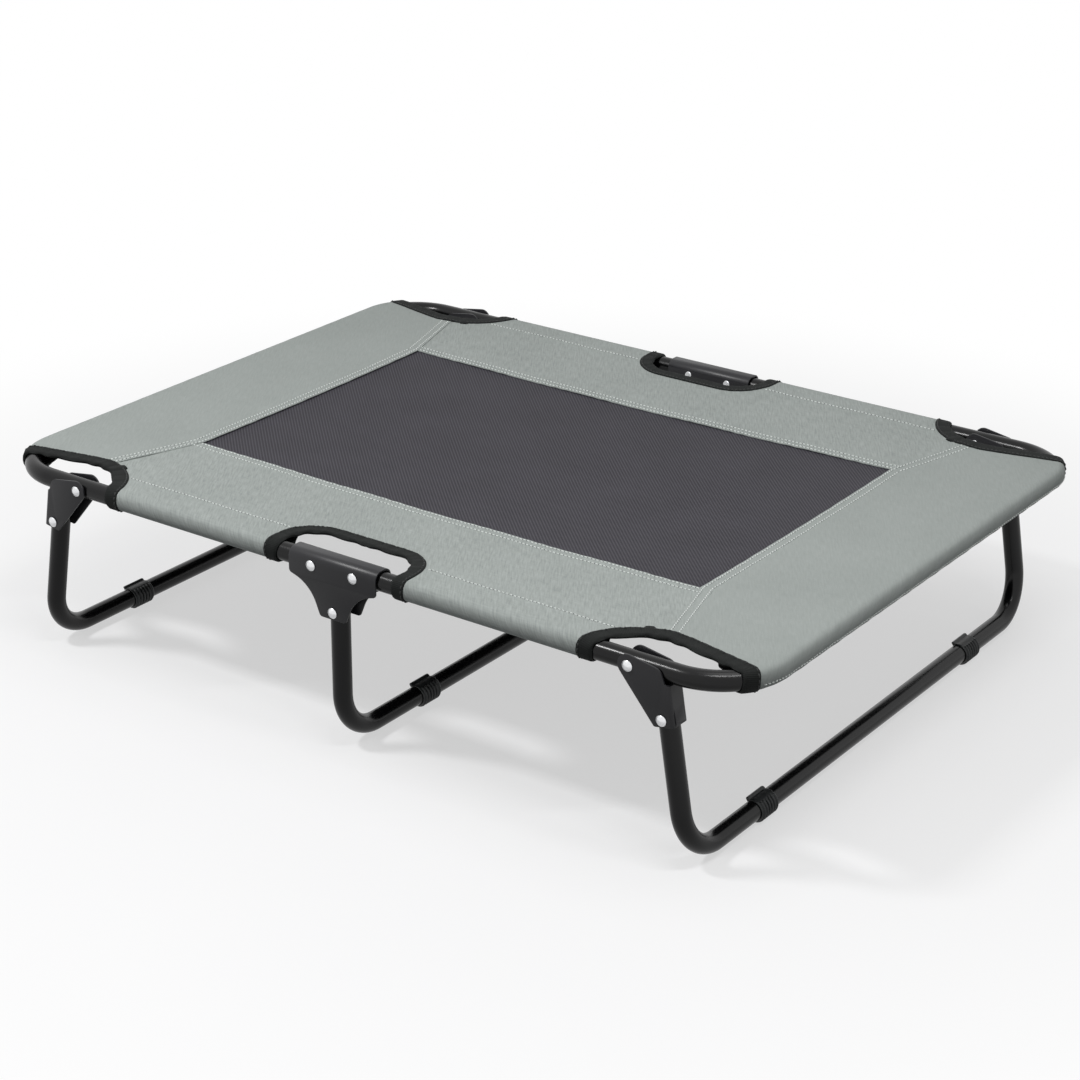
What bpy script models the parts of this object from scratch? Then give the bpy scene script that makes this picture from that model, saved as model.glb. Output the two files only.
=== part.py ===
# Folding raised dog bed: two hinged half frames of round tube, three U legs and a sewn sling.
# Metres, +Z up. X runs along the long side, Y along the short side, and the front is at -Y.
# The origin is on the floor, under the middle of the bed.
# Each piece is shaped for the right front quarter (+X, -Y) and mirrored to the others.

import math

import bmesh
import bpy
from mathutils import Matrix, Vector

# Clearances
GAP = 0.0003
SHEET_FIT = 0.0004
SHEET_STEP = 0.0001
SEAM_OVERLAP = 0.001

# Round tube
TUBE_RADIUS = 0.0095
TUBE_WALL = 0.0012

# Frame, to the tube's centreline
FRAME_HEIGHT = 0.190
FRAME_HALF_LENGTH = 0.436
FRAME_HALF_WIDTH = 0.325
FRAME_BEND = 0.062

# Rivets: the hinge's from the middle of the bed, the corner's from the frame's end, the leg's from the corner's
HINGE_RIVET_X = 0.025
CORNER_RIVET_INSET = 0.107
LEG_RIVET_OFFSET = 0.036
LEG_RIVET_DROP = 0.042
RIVET_RADIUS = 0.0025
RIVET_HEAD_RADIUS = 0.0052
RIVET_DOME = 0.0026
RIVET_TAIL_RADIUS = 0.0042
RIVET_TAIL = 0.0012

# Legs
LEG_SPLAY = 0.023
LEG_BEND = 0.048
LEG_TOP_ABOVE_RIVET = 0.030
MIDDLE_LEG_ABOVE_FRAME = 0.005

# Folded sheet brackets
BRACKET_SHEET = 0.0018
BRACKET_FOLD = 0.004
EAR_RADIUS = 0.0105
CORNER_PLATE_REACH = 0.033
CORNER_PLATE_FOLD = 0.009
BRACKET_FOOT_DEPTH = 0.0065
BRACKET_FOOT_WIDTH = 0.0087
LIP_PROUD = 0.0012
LIP_HEIGHT = 0.014
LIP_HALF_WIDTH = 0.006
HINGE_HALF_LENGTH = 0.052
HINGE_SIDE_DEPTH = 0.0165
HINGE_SHOULDER = 0.0215
HINGE_CURVE = 0.020
HINGE_FOOT_HALF_WIDTH = 0.0145
HINGE_FOOT_DEPTH = 0.007

# Rubber feet
FOOT_INSET = 0.124
FOOT_LENGTH = 0.028
FOOT_WALL = 0.0018
FOOT_RIB = 0.001
FOOT_RIB_COUNT = 6
FOOT_RIB_WIDTH = 0.0024
FOOT_SOLE_CUT = 0.0004
FOOT_LIP = 0.0026
FOOT_SLOT_FROM = math.radians(125)
FOOT_SLOT_TO = math.radians(175)
FOOT_RIB_FROM = math.radians(-120)
FOOT_RIB_TO = math.radians(60)

# Sling
FABRIC = 0.0012
BINDING_THICKNESS = 0.0018
BINDING_WIDTH = 0.015
SLEEVE_SEAM = 0.027
SLING_SAG = 0.009
END_PANEL_WIDTH = 0.133
SIDE_PANEL_WIDTH = 0.146
END_SEAM_SPREAD = 0.028
HINGE_CUT_HALF_LENGTH = 0.070
HINGE_CUT_DEPTH = 0.040
HINGE_CUT_CORNER = 0.031
CORNER_CUT_BEFORE_RIVET = 0.040
CORNER_CUT_DEPTH = 0.0365
CORNER_CUT_TURN = 0.053
CORNER_CUT_TIP_TURN = 0.006
CORNER_CUT_SLOPE = math.radians(12)
CORNER_CUT_ANGLE = math.radians(40)

# Facets
TUBE_SIDES = 12
BEND_STEPS = 5
FILLET_STEPS = 3
CUT_STEPS = 6
RIVET_SIDES = 8
DOME_STEPS = 2
HOLE_SIDES = 8
CLIP_STEPS = 12
RIB_STEPS = 6
SLEEVE_STEPS = 10
SHEET_PITCH = 0.06
SHADE_ANGLE = math.radians(40)

# Worked out from the sizes above
BAR_HEIGHT = TUBE_RADIUS + GAP + FOOT_WALL + FOOT_RIB - FOOT_SOLE_CUT
CORNER_RIVET_X = FRAME_HALF_LENGTH - CORNER_RIVET_INSET
LEG_RIVET_X = CORNER_RIVET_X + LEG_RIVET_OFFSET
LEG_RIVET_HEIGHT = FRAME_HEIGHT - LEG_RIVET_DROP
LEG_FOOT_X = LEG_RIVET_X + LEG_SPLAY
FOOT_Y = FRAME_HALF_WIDTH - FOOT_INSET
MESH_HALF_LENGTH = FRAME_HALF_LENGTH - END_PANEL_WIDTH
MESH_HALF_WIDTH = FRAME_HALF_WIDTH - SIDE_PANEL_WIDTH
CORNER_CUT_X = CORNER_RIVET_X - CORNER_CUT_BEFORE_RIVET
LEG_LEAN = math.atan2(LEG_FOOT_X - LEG_RIVET_X, LEG_RIVET_HEIGHT - BAR_HEIGHT)
BRACKET_INSIDE = TUBE_RADIUS + SHEET_FIT
BRACKET_OUTSIDE = BRACKET_INSIDE + BRACKET_SHEET
SLEEVE_INSIDE = TUBE_RADIUS + GAP
BEND_CENTRE = Vector((FRAME_HALF_LENGTH - FRAME_BEND, FRAME_BEND - FRAME_HALF_WIDTH))
FAR = 3 * FRAME_BEND

PLAN = Matrix.Identity(4)
SIDE = Matrix(((1, 0, 0, 0), (0, 0, 1, 0), (0, 1, 0, 0), (0, 0, 0, 1)))

COLOURS = {
    "tube": ((0.012, 0.012, 0.014, 1), 0.22, 0.0),
    "bracket": ((0.024, 0.024, 0.026, 1), 0.38, 0.0),
    "rivet": ((0.80, 0.80, 0.81, 1), 0.20, 1.0),
    "rubber": ((0.014, 0.018, 0.018, 1), 0.60, 0.0),
    "fabric": ((0.30, 0.34, 0.32, 1), 0.85, 0.0),
    "mesh": ((0.055, 0.055, 0.062, 1), 0.80, 0.0),
    "binding": ((0.016, 0.018, 0.017, 1), 0.75, 0.0),
}


def clearScene():
    for item in list(bpy.data.objects):
        bpy.data.objects.remove(item)


def makeMaterials():
    materials = {}
    for name, (colour, roughness, metallic) in COLOURS.items():
        material = bpy.data.materials.new(name)
        material.use_nodes = True
        shader = material.node_tree.nodes["Principled BSDF"]
        shader.inputs["Base Color"].default_value = colour
        shader.inputs["Roughness"].default_value = roughness
        shader.inputs["Metallic"].default_value = metallic
        materials[name] = material
    return materials


def makePivot(name, place):
    pivot = bpy.data.objects.new(name, None)
    pivot.location = place
    bpy.context.scene.collection.objects.link(pivot)
    return pivot


def solidObject(name, form):
    # turns an edit mesh into an object with its faces pointing out
    bmesh.ops.recalc_face_normals(form, faces=form.faces)
    mesh = bpy.data.meshes.new(name)
    form.to_mesh(mesh)
    form.free()
    item = bpy.data.objects.new(name, mesh)
    bpy.context.scene.collection.objects.link(item)
    return item


def combine(piece, tool, operation):
    # applies an exact boolean and takes the tool away
    modifier = piece.modifiers.new(operation, "BOOLEAN")
    modifier.operation = operation
    modifier.object = tool
    modifier.solver = "EXACT"
    with bpy.context.temp_override(object=piece):
        bpy.ops.object.modifier_apply(modifier=modifier.name)
    bpy.data.objects.remove(tool)
    return piece


def rounded(corners, steps=FILLET_STEPS):
    # an outline whose corners (x, y, fillet radius) are rounded by arcs
    outline = []
    count = len(corners)
    for i, (x, y, radius) in enumerate(corners):
        corner = Vector((x, y))
        if radius == 0:
            outline.append(corner)
            continue
        back = (Vector(corners[i - 1][:2]) - corner).normalized()
        ahead = (Vector(corners[(i + 1) % count][:2]) - corner).normalized()
        half = back.angle(ahead) / 2
        centre = corner + (back + ahead).normalized() * radius / math.sin(half)
        start = corner + back * radius / math.tan(half) - centre
        turn = start.angle_signed(corner + ahead * radius / math.tan(half) - centre)
        for step in range(steps + 1):
            angle = -turn * step / steps
            outline.append(centre + Matrix.Rotation(angle, 2) @ start)
    return outline


def arc(centre, radius, start, end, steps):
    points = []
    for step in range(steps + 1):
        angle = start + (end - start) * step / steps
        points.append(Vector(centre) + radius * Vector((math.cos(angle), math.sin(angle))))
    return points


def prism(name, outline, low, high, frame=PLAN):
    # extrudes an outline from low to high along the frame's third axis
    form = bmesh.new()
    base = form.faces.new([form.verts.new(frame @ Vector((a, b, low))) for a, b in outline])
    rise = frame.to_3x3() @ Vector((0, 0, high - low))
    lifted = bmesh.ops.extrude_face_region(form, geom=[base])["geom"]
    moved = [item for item in lifted if isinstance(item, bmesh.types.BMVert)]
    bmesh.ops.translate(form, verts=moved, vec=rise)
    return solidObject(name, form)


def bentPath(corners, bend, up):
    # stations (point, inward side, up) along straight runs joined by bends
    stations = []
    for i, corner in enumerate(corners):
        if i in (0, len(corners) - 1):
            other = corners[1] if i == 0 else corners[-2]
            along = (other - corner).normalized() * (1 if i == 0 else -1)
            stations.append((corner, up.cross(along), up))
            continue
        into = (corner - corners[i - 1]).normalized()
        away = (corners[i + 1] - corner).normalized()
        side = up.cross(into)
        centre = corner - into * bend + side * bend
        for step in range(BEND_STEPS + 1):
            turn = Matrix.Rotation(into.angle(away) * step / BEND_STEPS, 3, up)
            stations.append((centre - (turn @ side) * bend, turn @ side, up))
    return stations


def sweep(name, stations, outer, inner):
    # a wall between an outer and an inner section, open at both ends
    form = bmesh.new()
    rings = []
    for point, side, up in stations:
        for section in (outer, inner):
            rings.append([form.verts.new(point + side * a + up * b) for a, b in section])
    count = len(outer)
    pairs = [(rings[i], rings[i + 2]) for i in range(len(rings) - 2)]
    pairs += [(rings[0], rings[1]), (rings[-2], rings[-1])]
    for first, second in pairs:
        for i in range(count):
            j = (i + 1) % count
            form.faces.new((first[i], first[j], second[j], second[i]))
    return solidObject(name, form)


def lathe(name, profile, sides):
    # revolves a profile (radius, height) about Y; the head end faces -Y
    form = bmesh.new()
    points = [form.verts.new((radius, -height, 0)) for radius, height in profile]
    edges = [form.edges.new(pair) for pair in zip(points, points[1:])]
    bmesh.ops.spin(form, geom=points + edges, cent=(0, 0, 0), axis=(0, 1, 0),
                   angle=2 * math.pi, steps=sides, use_merge=True)
    bmesh.ops.remove_doubles(form, verts=form.verts, dist=0.00001)
    return solidObject(name, form)


def circle(radius):
    points = arc((0, 0), radius, 0, 2 * math.pi, TUBE_SIDES)
    return points[:-1]


def tube(name, corners, bend, up):
    stations = bentPath(corners, bend, up)
    return sweep(name, stations, circle(TUBE_RADIUS), circle(TUBE_RADIUS - TUBE_WALL))


def drill(piece, x, z):
    # a rivet hole through everything on the line at x and z
    reach = FRAME_HALF_WIDTH + FAR
    hole = arc((x, z), RIVET_RADIUS + GAP, 0, 2 * math.pi, HOLE_SIDES)[:-1]
    return combine(piece, prism("hole", hole, -reach, reach, SIDE), "DIFFERENCE")


def makeFrameTube():
    # a U of tube whose ends are rounded about the hinge rivets, to turn clear of the bracket's folds
    high = Vector((0, 0, FRAME_HEIGHT))
    near = Vector((0, -FRAME_HALF_WIDTH, 0)) + high
    far = Vector((0, FRAME_HALF_WIDTH, 0)) + high
    reach = Vector((FRAME_HALF_LENGTH, 0, 0))
    piece = tube("frame", [near, near + reach, far + reach, far], FRAME_BEND, Vector((0, 0, 1)))
    turn = BRACKET_OUTSIDE - BRACKET_FOLD
    hinge = (HINGE_RIVET_X, FRAME_HEIGHT)
    end = arc(hinge, turn, math.radians(270), math.radians(90), BEND_STEPS)
    block = [(-FAR, FRAME_HEIGHT + FAR), (-FAR, FRAME_HEIGHT - FAR), (HINGE_RIVET_X, FRAME_HEIGHT - FAR)]
    outline = block + end + [(HINGE_RIVET_X, FRAME_HEIGHT + FAR)]
    wide = FRAME_HALF_WIDTH + FAR
    combine(piece, prism("end cut", outline, -wide, wide, SIDE), "DIFFERENCE")
    drill(piece, HINGE_RIVET_X, FRAME_HEIGHT)
    return drill(piece, CORNER_RIVET_X, FRAME_HEIGHT)


def makeLegTube(topX, topZ, rivetX, footX):
    # a U of tube that stands on its bar
    across = Vector((0, FRAME_HALF_WIDTH, 0))
    top = Vector((topX, 0, topZ))
    foot = Vector((footX, 0, BAR_HEIGHT))
    up = (top - foot).normalized().cross(Vector((0, 1, 0)))
    corners = [top - across, foot - across, foot + across, top + across]
    piece = tube("leg", corners, LEG_BEND, -up)
    return drill(piece, rivetX, LEG_RIVET_HEIGHT)


def makeEndLeg():
    topX = LEG_RIVET_X - LEG_TOP_ABOVE_RIVET * math.sin(LEG_LEAN)
    topZ = LEG_RIVET_HEIGHT + LEG_TOP_ABOVE_RIVET * math.cos(LEG_LEAN)
    return makeLegTube(topX, topZ, LEG_RIVET_X, LEG_FOOT_X)


def makeMiddleLeg():
    return makeLegTube(0, FRAME_HEIGHT + MIDDLE_LEG_ABOVE_FRAME, 0, 0)


def channel(name, frame, low, high, outside):
    # the sheet bracket's folded section, its web at negative first axis, open the other way
    size = BRACKET_OUTSIDE if outside else BRACKET_INSIDE
    fold = BRACKET_FOLD if outside else BRACKET_FOLD - BRACKET_SHEET
    outline = rounded([(FAR, -size, 0), (FAR, size, 0), (-size, size, fold), (-size, -size, fold)])
    return prism(name, outline, low, high, frame)


def legFrame():
    # origin on the leg rivet: first axis towards the middle of the bed, third axis up the leg
    up = Vector((-math.sin(LEG_LEAN), 0, math.cos(LEG_LEAN)))
    inward = Vector((-math.cos(LEG_LEAN), 0, -math.sin(LEG_LEAN)))
    frame = Matrix((inward, Vector((0, 1, 0)), up)).transposed().to_4x4()
    frame.translation = Vector((LEG_RIVET_X, -FRAME_HALF_WIDTH, LEG_RIVET_HEIGHT))
    return frame


def tangentPoint(point, centre, radius, turn):
    # where a line from the point touches a circle
    toward = Vector(centre) - Vector(point)
    swing = turn * math.asin(radius / toward.length)
    along = Matrix.Rotation(swing, 2) @ toward.normalized()
    return Vector(point) + along * math.sqrt(toward.length ** 2 - radius ** 2)


def makeCornerBracket():
    # a folded sheet round the leg's top, with two ears that turn on the frame's rivet
    frame = legFrame()

    def onPlate(inward, above):
        return (frame @ Vector((inward, 0, above))).xz

    foot = onPlate(BRACKET_FOOT_WIDTH, -BRACKET_FOOT_DEPTH)
    heel = onPlate(-BRACKET_OUTSIDE - GAP, -BRACKET_FOOT_DEPTH)
    webEdge = onPlate(-BRACKET_OUTSIDE - GAP, LEG_TOP_ABOVE_RIVET)
    notch = onPlate(BRACKET_FOLD - BRACKET_OUTSIDE, LEG_TOP_ABOVE_RIVET)
    ear = Vector((CORNER_RIVET_X, FRAME_HEIGHT))
    touch = tangentPoint(foot, ear, EAR_RADIUS, 1) - ear
    shoulder = Vector((CORNER_RIVET_X + CORNER_PLATE_REACH, FRAME_HEIGHT + EAR_RADIUS / 2))
    leave = tangentPoint(shoulder, ear, EAR_RADIUS, -1) - ear
    start = math.atan2(touch.y, touch.x) % (2 * math.pi)
    earArc = arc(ear, EAR_RADIUS, start, math.atan2(leave.y, leave.x), 2 * FILLET_STEPS)
    turn = rounded([(*notch, 0), (*shoulder, CORNER_PLATE_FOLD), (*(ear + leave), 0)])
    outline = [heel, foot] + earArc + list(reversed(turn[:-1])) + [webEdge]
    reach = FRAME_HALF_WIDTH + FAR
    piece = prism("corner bracket", outline, -reach, -FRAME_HALF_WIDTH + FAR, SIDE)
    combine(piece, channel("outside", frame, -FAR, FAR, True), "INTERSECT")
    web = -BRACKET_OUTSIDE
    bulge = web - LIP_PROUD
    inset = web + BRACKET_SHEET / 2
    low = GAP - BRACKET_FOOT_DEPTH
    lip = [(inset, low), (web, low), (bulge, low + LIP_HEIGHT / 4),
           (bulge, low + LIP_HEIGHT - LIP_PROUD), (web, low + LIP_HEIGHT), (inset, low + LIP_HEIGHT)]
    turned = frame @ SIDE
    combine(piece, prism("lip", lip, -LIP_HALF_WIDTH, LIP_HALF_WIDTH, turned), "UNION")
    combine(piece, channel("inside", frame, -FAR, FAR, False), "DIFFERENCE")
    drill(piece, CORNER_RIVET_X, FRAME_HEIGHT)
    return drill(piece, LEG_RIVET_X, LEG_RIVET_HEIGHT)


def makeHingeBracket():
    # a folded saddle over both tube ends, tapering down to the middle leg
    side = FRAME_HEIGHT - HINGE_SIDE_DEPTH
    shoulder = FRAME_HEIGHT - HINGE_SHOULDER
    foot = LEG_RIVET_HEIGHT - HINGE_FOOT_DEPTH
    slope = HINGE_SHOULDER - HINGE_SIDE_DEPTH
    waist = HINGE_FOOT_HALF_WIDTH + slope
    half = [(HINGE_HALF_LENGTH, FRAME_HEIGHT + FAR, 0), (HINGE_HALF_LENGTH, side, slope / 2),
            (HINGE_HALF_LENGTH - slope, shoulder, slope / 2), (waist, shoulder - slope / 2, HINGE_CURVE),
            (HINGE_FOOT_HALF_WIDTH, foot, slope / 2)]
    corners = half + [(-x, z, radius) for x, z, radius in reversed(half)]
    reach = FRAME_HALF_WIDTH + FAR
    piece = prism("hinge bracket", rounded(corners), -reach, -FRAME_HALF_WIDTH + FAR, SIDE)
    frame = Matrix((Vector((0, 0, -1)), Vector((0, 1, 0)), Vector((1, 0, 0)))).transposed().to_4x4()
    frame.translation = Vector((0, -FRAME_HALF_WIDTH, FRAME_HEIGHT))
    combine(piece, channel("outside", frame, -FAR, FAR, True), "INTERSECT")
    combine(piece, channel("inside", frame, -FAR, FAR, False), "DIFFERENCE")
    for x in (-HINGE_RIVET_X, HINGE_RIVET_X):
        drill(piece, x, FRAME_HEIGHT)
    return drill(piece, 0, LEG_RIVET_HEIGHT)


def makeRivet():
    # a domed head outside, a shank through the bracket and tube, and a flat tail inside
    under = BRACKET_OUTSIDE + GAP
    sphere = (RIVET_HEAD_RADIUS ** 2 + RIVET_DOME ** 2) / (2 * RIVET_DOME)
    centre = (0, under + RIVET_DOME - sphere)
    edge = math.asin((sphere - RIVET_DOME) / sphere)
    dome = [tuple(point) for point in arc(centre, sphere, math.pi / 2, edge, DOME_STEPS)]
    tail = [(RIVET_RADIUS, under), (RIVET_RADIUS, -under), (RIVET_TAIL_RADIUS, -under),
            (RIVET_TAIL_RADIUS - RIVET_TAIL / 2, -under - RIVET_TAIL), (0, -under - RIVET_TAIL)]
    return lathe("rivet", dome + tail, RIVET_SIDES)


def makeFoot():
    # a rubber clip round the bar, with a lip along its slot, ribs outside and a flat sole
    inner = TUBE_RADIUS + GAP
    outer = inner + FOOT_WALL
    begin = FOOT_SLOT_TO - 2 * math.pi
    clip = arc((0, 0), outer, begin, FOOT_SLOT_FROM - FOOT_WALL / outer, CLIP_STEPS)
    clip += arc((0, 0), outer + FOOT_LIP, FOOT_SLOT_FROM - FOOT_WALL / outer, FOOT_SLOT_FROM, 1)
    clip += arc((0, 0), inner, FOOT_SLOT_FROM, begin, CLIP_STEPS)
    piece = prism("foot", clip, -FOOT_LENGTH / 2, FOOT_LENGTH / 2, SIDE)
    pitch = (FOOT_LENGTH - FOOT_RIB_WIDTH) / FOOT_RIB_COUNT
    middle = (outer + inner) / 2
    rib = arc((0, 0), outer + FOOT_RIB, FOOT_RIB_FROM, FOOT_RIB_TO, RIB_STEPS)
    rib += arc((0, 0), middle, FOOT_RIB_TO, FOOT_RIB_FROM, RIB_STEPS)
    for i in range(FOOT_RIB_COUNT):
        start = (i + 0.5 - FOOT_RIB_COUNT / 2) * pitch - FOOT_RIB_WIDTH / 2
        combine(piece, prism("rib", rib, start, start + FOOT_RIB_WIDTH, SIDE), "UNION")
    floor = [(-FAR, -FAR), (FAR, -FAR), (FAR, -BAR_HEIGHT), (-FAR, -BAR_HEIGHT)]
    return combine(piece, prism("floor", floor, -FAR, FAR, SIDE), "DIFFERENCE")


def sagAt(x, y):
    # how far the sling hangs below the tubes, nothing at the sleeves' seams
    along = x / (FRAME_HALF_LENGTH - SLEEVE_SEAM)
    across = y / (FRAME_HALF_WIDTH - SLEEVE_SEAM)
    return SLING_SAG * max(0, 1 - along ** 2) * max(0, 1 - across ** 2)


def gridLines(low, high, seam):
    # even steps from low to high, with a line on each seam between them
    stops = [low] + [stop for stop in (-seam, seam) if low < stop < high] + [high]
    lines = [low]
    for start, end in zip(stops, stops[1:]):
        count = math.ceil((end - start) / SHEET_PITCH)
        lines += [start + (end - start) * step / count for step in range(1, count + 1)]
    return lines


def sheet(name, lowX, highX, lowY, highY, thickness):
    # the sling's flat part between the given lines, with its sag
    form = bmesh.new()
    across = gridLines(lowX, highX, FRAME_HALF_LENGTH - SLEEVE_SEAM)
    along = gridLines(lowY, highY, FRAME_HALF_WIDTH - SLEEVE_SEAM)
    top = FRAME_HEIGHT + SLEEVE_INSIDE + thickness - SHEET_STEP
    layers = []
    for height in (top, top - thickness + SHEET_STEP):
        layers.append([[form.verts.new((x, y, height - sagAt(x, y))) for y in along] for x in across])
    upper, lower = layers
    columns, rows = len(across) - 1, len(along) - 1
    for layer in layers:
        for i in range(columns):
            for j in range(rows):
                form.faces.new((layer[i][j], layer[i + 1][j], layer[i + 1][j + 1], layer[i][j + 1]))
    for i in (0, columns):
        for j in range(rows):
            form.faces.new((upper[i][j], upper[i][j + 1], lower[i][j + 1], lower[i][j]))
    for j in (0, rows):
        for i in range(columns):
            form.faces.new((upper[i][j], upper[i + 1][j], lower[i + 1][j], lower[i][j]))
    return solidObject(name, form)


def sleeveSections(thickness):
    # a loop round the tube whose lower layer rises to the seam; the tail lies under the sheet
    outer = SLEEVE_INSIDE + thickness
    rise = math.atan2(SLEEVE_INSIDE, SLEEVE_SEAM)
    leave = rise - math.acos(SLEEVE_INSIDE / math.hypot(SLEEVE_INSIDE, SLEEVE_SEAM))
    around = math.pi / 2 - leave - 2 * math.pi
    outside = arc((0, 0), outer, math.pi / 2, math.pi / 2 - around, SLEEVE_STEPS)
    inside = arc((0, 0), SLEEVE_INSIDE, math.pi / 2, math.pi / 2 - around, SLEEVE_STEPS)
    outside += [Vector((SLEEVE_SEAM, SLEEVE_INSIDE - SHEET_STEP)), Vector((SLEEVE_SEAM, outer))]
    tail = SLEEVE_SEAM - 4 * thickness
    inside += [Vector((tail, SLEEVE_INSIDE - thickness)), Vector((tail - thickness, SLEEVE_INSIDE))]
    return outside, inside


def longSleeve(name, lowX, highX, thickness):
    side, up = Vector((0, 1, 0)), Vector((0, 0, 1))
    stations = [(Vector((x, -FRAME_HALF_WIDTH, FRAME_HEIGHT)), side, up) for x in (lowX, highX)]
    return sweep(name, stations, *sleeveSections(thickness))


def endSleeve(name, thickness):
    # runs round both bends; the cut-outs trim it
    up = Vector((0, 0, 1))
    x, y, z = FRAME_HALF_LENGTH, FRAME_HALF_WIDTH, FRAME_HEIGHT
    back = BEND_CENTRE.x - GAP
    corners = [Vector((back, -y, z)), Vector((x, -y, z)), Vector((x, y, z)), Vector((back, y, z))]
    return sweep(name, bentPath(corners, FRAME_BEND, up), *sleeveSections(thickness))


def insideSeam(name):
    # the plan inside the sleeves' seams, which the sheet fills
    inset = SLEEVE_SEAM - SEAM_OVERLAP
    x = FRAME_HALF_LENGTH - inset
    y = FRAME_HALF_WIDTH - inset
    bend = FRAME_BEND - inset
    corners = [(-FAR, -y, 0), (x, -y, bend), (x, y, bend), (-FAR, y, 0)]
    return prism(name, rounded(corners), 0, FRAME_HEIGHT + FAR)


def hingeCut(name, grow):
    # plan of the cut-out round a hinge bracket, grown by the binding's width
    x = HINGE_CUT_HALF_LENGTH + grow
    y = -FRAME_HALF_WIDTH + HINGE_CUT_DEPTH + grow
    turn = HINGE_CUT_CORNER + grow
    out = -FRAME_HALF_WIDTH - FAR
    corners = [(-x, out, 0), (x, out, 0), (x, y, turn), (-x, y, turn)]
    return prism(name, rounded(corners, CUT_STEPS), 0, FRAME_HEIGHT + FAR)


def cornerCut(name, grow, mirror=1):
    # plan of the cut-out at a corner: square to the long tube, then slanting out, then square to the bend
    x = CORNER_CUT_X - grow
    y = -FRAME_HALF_WIDTH + CORNER_CUT_DEPTH + grow
    turn = CORNER_CUT_TURN + grow
    angle = CORNER_CUT_ANGLE - grow / FRAME_BEND
    radial = Vector((math.cos(angle), -math.sin(angle)))
    slant = Vector((math.cos(CORNER_CUT_SLOPE), -math.sin(CORNER_CUT_SLOPE)))
    offset = Vector((x + turn, y)) - BEND_CENTRE
    meet = BEND_CENTRE + radial * (slant.cross(offset) / slant.cross(radial))
    begin = (x, meet.y + (meet.x - x) * math.tan(CORNER_CUT_SLOPE))
    end = BEND_CENTRE + radial * FAR
    out = -FRAME_HALF_WIDTH - FAR
    corners = [(x, out, 0), (FAR + end.x, out, 0), (*end, 0), (*meet, CORNER_CUT_TIP_TURN), (*begin, turn)]
    outline = [(a, b * mirror) for a, b in rounded(corners, CUT_STEPS)]
    return prism(name, outline, 0, FRAME_HEIGHT + FAR)


def seamSide(name, edge):
    # plan beyond the end panel's seam: square to the mesh panel, then spreading to the corners
    wide = MESH_HALF_WIDTH
    seam = FRAME_HALF_WIDTH - CORNER_CUT_DEPTH - BINDING_WIDTH
    start = MESH_HALF_LENGTH + edge
    spread = start + END_SEAM_SPREAD
    far = FRAME_HALF_LENGTH + FAR
    out = FRAME_HALF_WIDTH + FAR
    outline = [(spread, -out), (far, -out), (far, out), (spread, out), (spread, seam), (start, wide),
               (start, -wide), (spread, -seam)]
    return prism(name, outline, 0, FRAME_HEIGHT + FAR)


def sewn(flat, sleeves, keep, cuts):
    # joins the flat part to its sleeves, then trims both to their plan
    combine(flat, insideSeam("inside"), "INTERSECT")
    for sleeve in sleeves:
        combine(flat, sleeve, "UNION")
    for maker, *values in keep:
        combine(flat, maker("keep", *values), "INTERSECT")
    for maker, *values in cuts:
        combine(flat, maker("cut", *values), "DIFFERENCE")
    return flat


def makeEndPanel():
    reach = FRAME_HALF_LENGTH
    flat = sheet("end panel", MESH_HALF_LENGTH - FAR, reach, -reach, reach, FABRIC)
    cuts = [(cornerCut, BINDING_WIDTH + GAP, mirror) for mirror in (1, -1)]
    return sewn(flat, [endSleeve("sleeve", FABRIC)], [(seamSide, GAP / 2)], cuts)


def makeSidePanel():
    low = HINGE_RIVET_X + GAP / 2
    edge = MESH_HALF_WIDTH + GAP / 2
    flat = sheet("side panel", low, CORNER_RIVET_X + FAR, -FRAME_HALF_WIDTH, -edge, FABRIC)
    sleeve = longSleeve("sleeve", HINGE_CUT_HALF_LENGTH, CORNER_CUT_X, FABRIC)
    cuts = [(seamSide, -GAP / 2), (hingeCut, BINDING_WIDTH + GAP), (cornerCut, BINDING_WIDTH + GAP)]
    return sewn(flat, [sleeve], [], cuts)


def makeMeshPanel():
    edge = MESH_HALF_WIDTH - GAP / 2
    return sheet("mesh", HINGE_RIVET_X + GAP / 2, MESH_HALF_LENGTH - GAP / 2, -edge, edge, FABRIC)


def makeMiddleMesh():
    edge = MESH_HALF_WIDTH - GAP / 2
    reach = HINGE_RIVET_X - GAP / 2
    return sheet("middle mesh", -reach, reach, -edge, edge, FABRIC)


def makeMiddleStrip():
    reach = HINGE_RIVET_X - GAP / 2
    edge = MESH_HALF_WIDTH + GAP / 2
    flat = sheet("strip", -reach, reach, -FRAME_HALF_WIDTH, -edge, FABRIC)
    return sewn(flat, [], [], [(hingeCut, BINDING_WIDTH + GAP)])


def makeCornerBinding():
    # the tape round a corner cut-out, with a ring round the tube at each end
    reach = FRAME_HALF_LENGTH
    flat = sheet("corner binding", CORNER_CUT_X - FAR, reach, -reach, 0, BINDING_THICKNESS)
    bendRing = endSleeve("bend ring", BINDING_THICKNESS)
    longRing = longSleeve("long ring", CORNER_CUT_X - FAR, CORNER_RIVET_X, BINDING_THICKNESS)
    return sewn(flat, [bendRing, longRing], [(cornerCut, BINDING_WIDTH)], [(cornerCut, 0)])


def makeHingeBinding():
    # the tape round a hinge cut-out, from the ring round the tube to the middle strip
    low = HINGE_RIVET_X + GAP / 2
    flat = sheet("hinge binding", low, CORNER_RIVET_X, -FRAME_HALF_WIDTH, 0, BINDING_THICKNESS)
    ring = longSleeve("ring", low, CORNER_RIVET_X, BINDING_THICKNESS)
    return sewn(flat, [ring], [(hingeCut, BINDING_WIDTH)], [(hingeCut, 0)])


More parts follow.
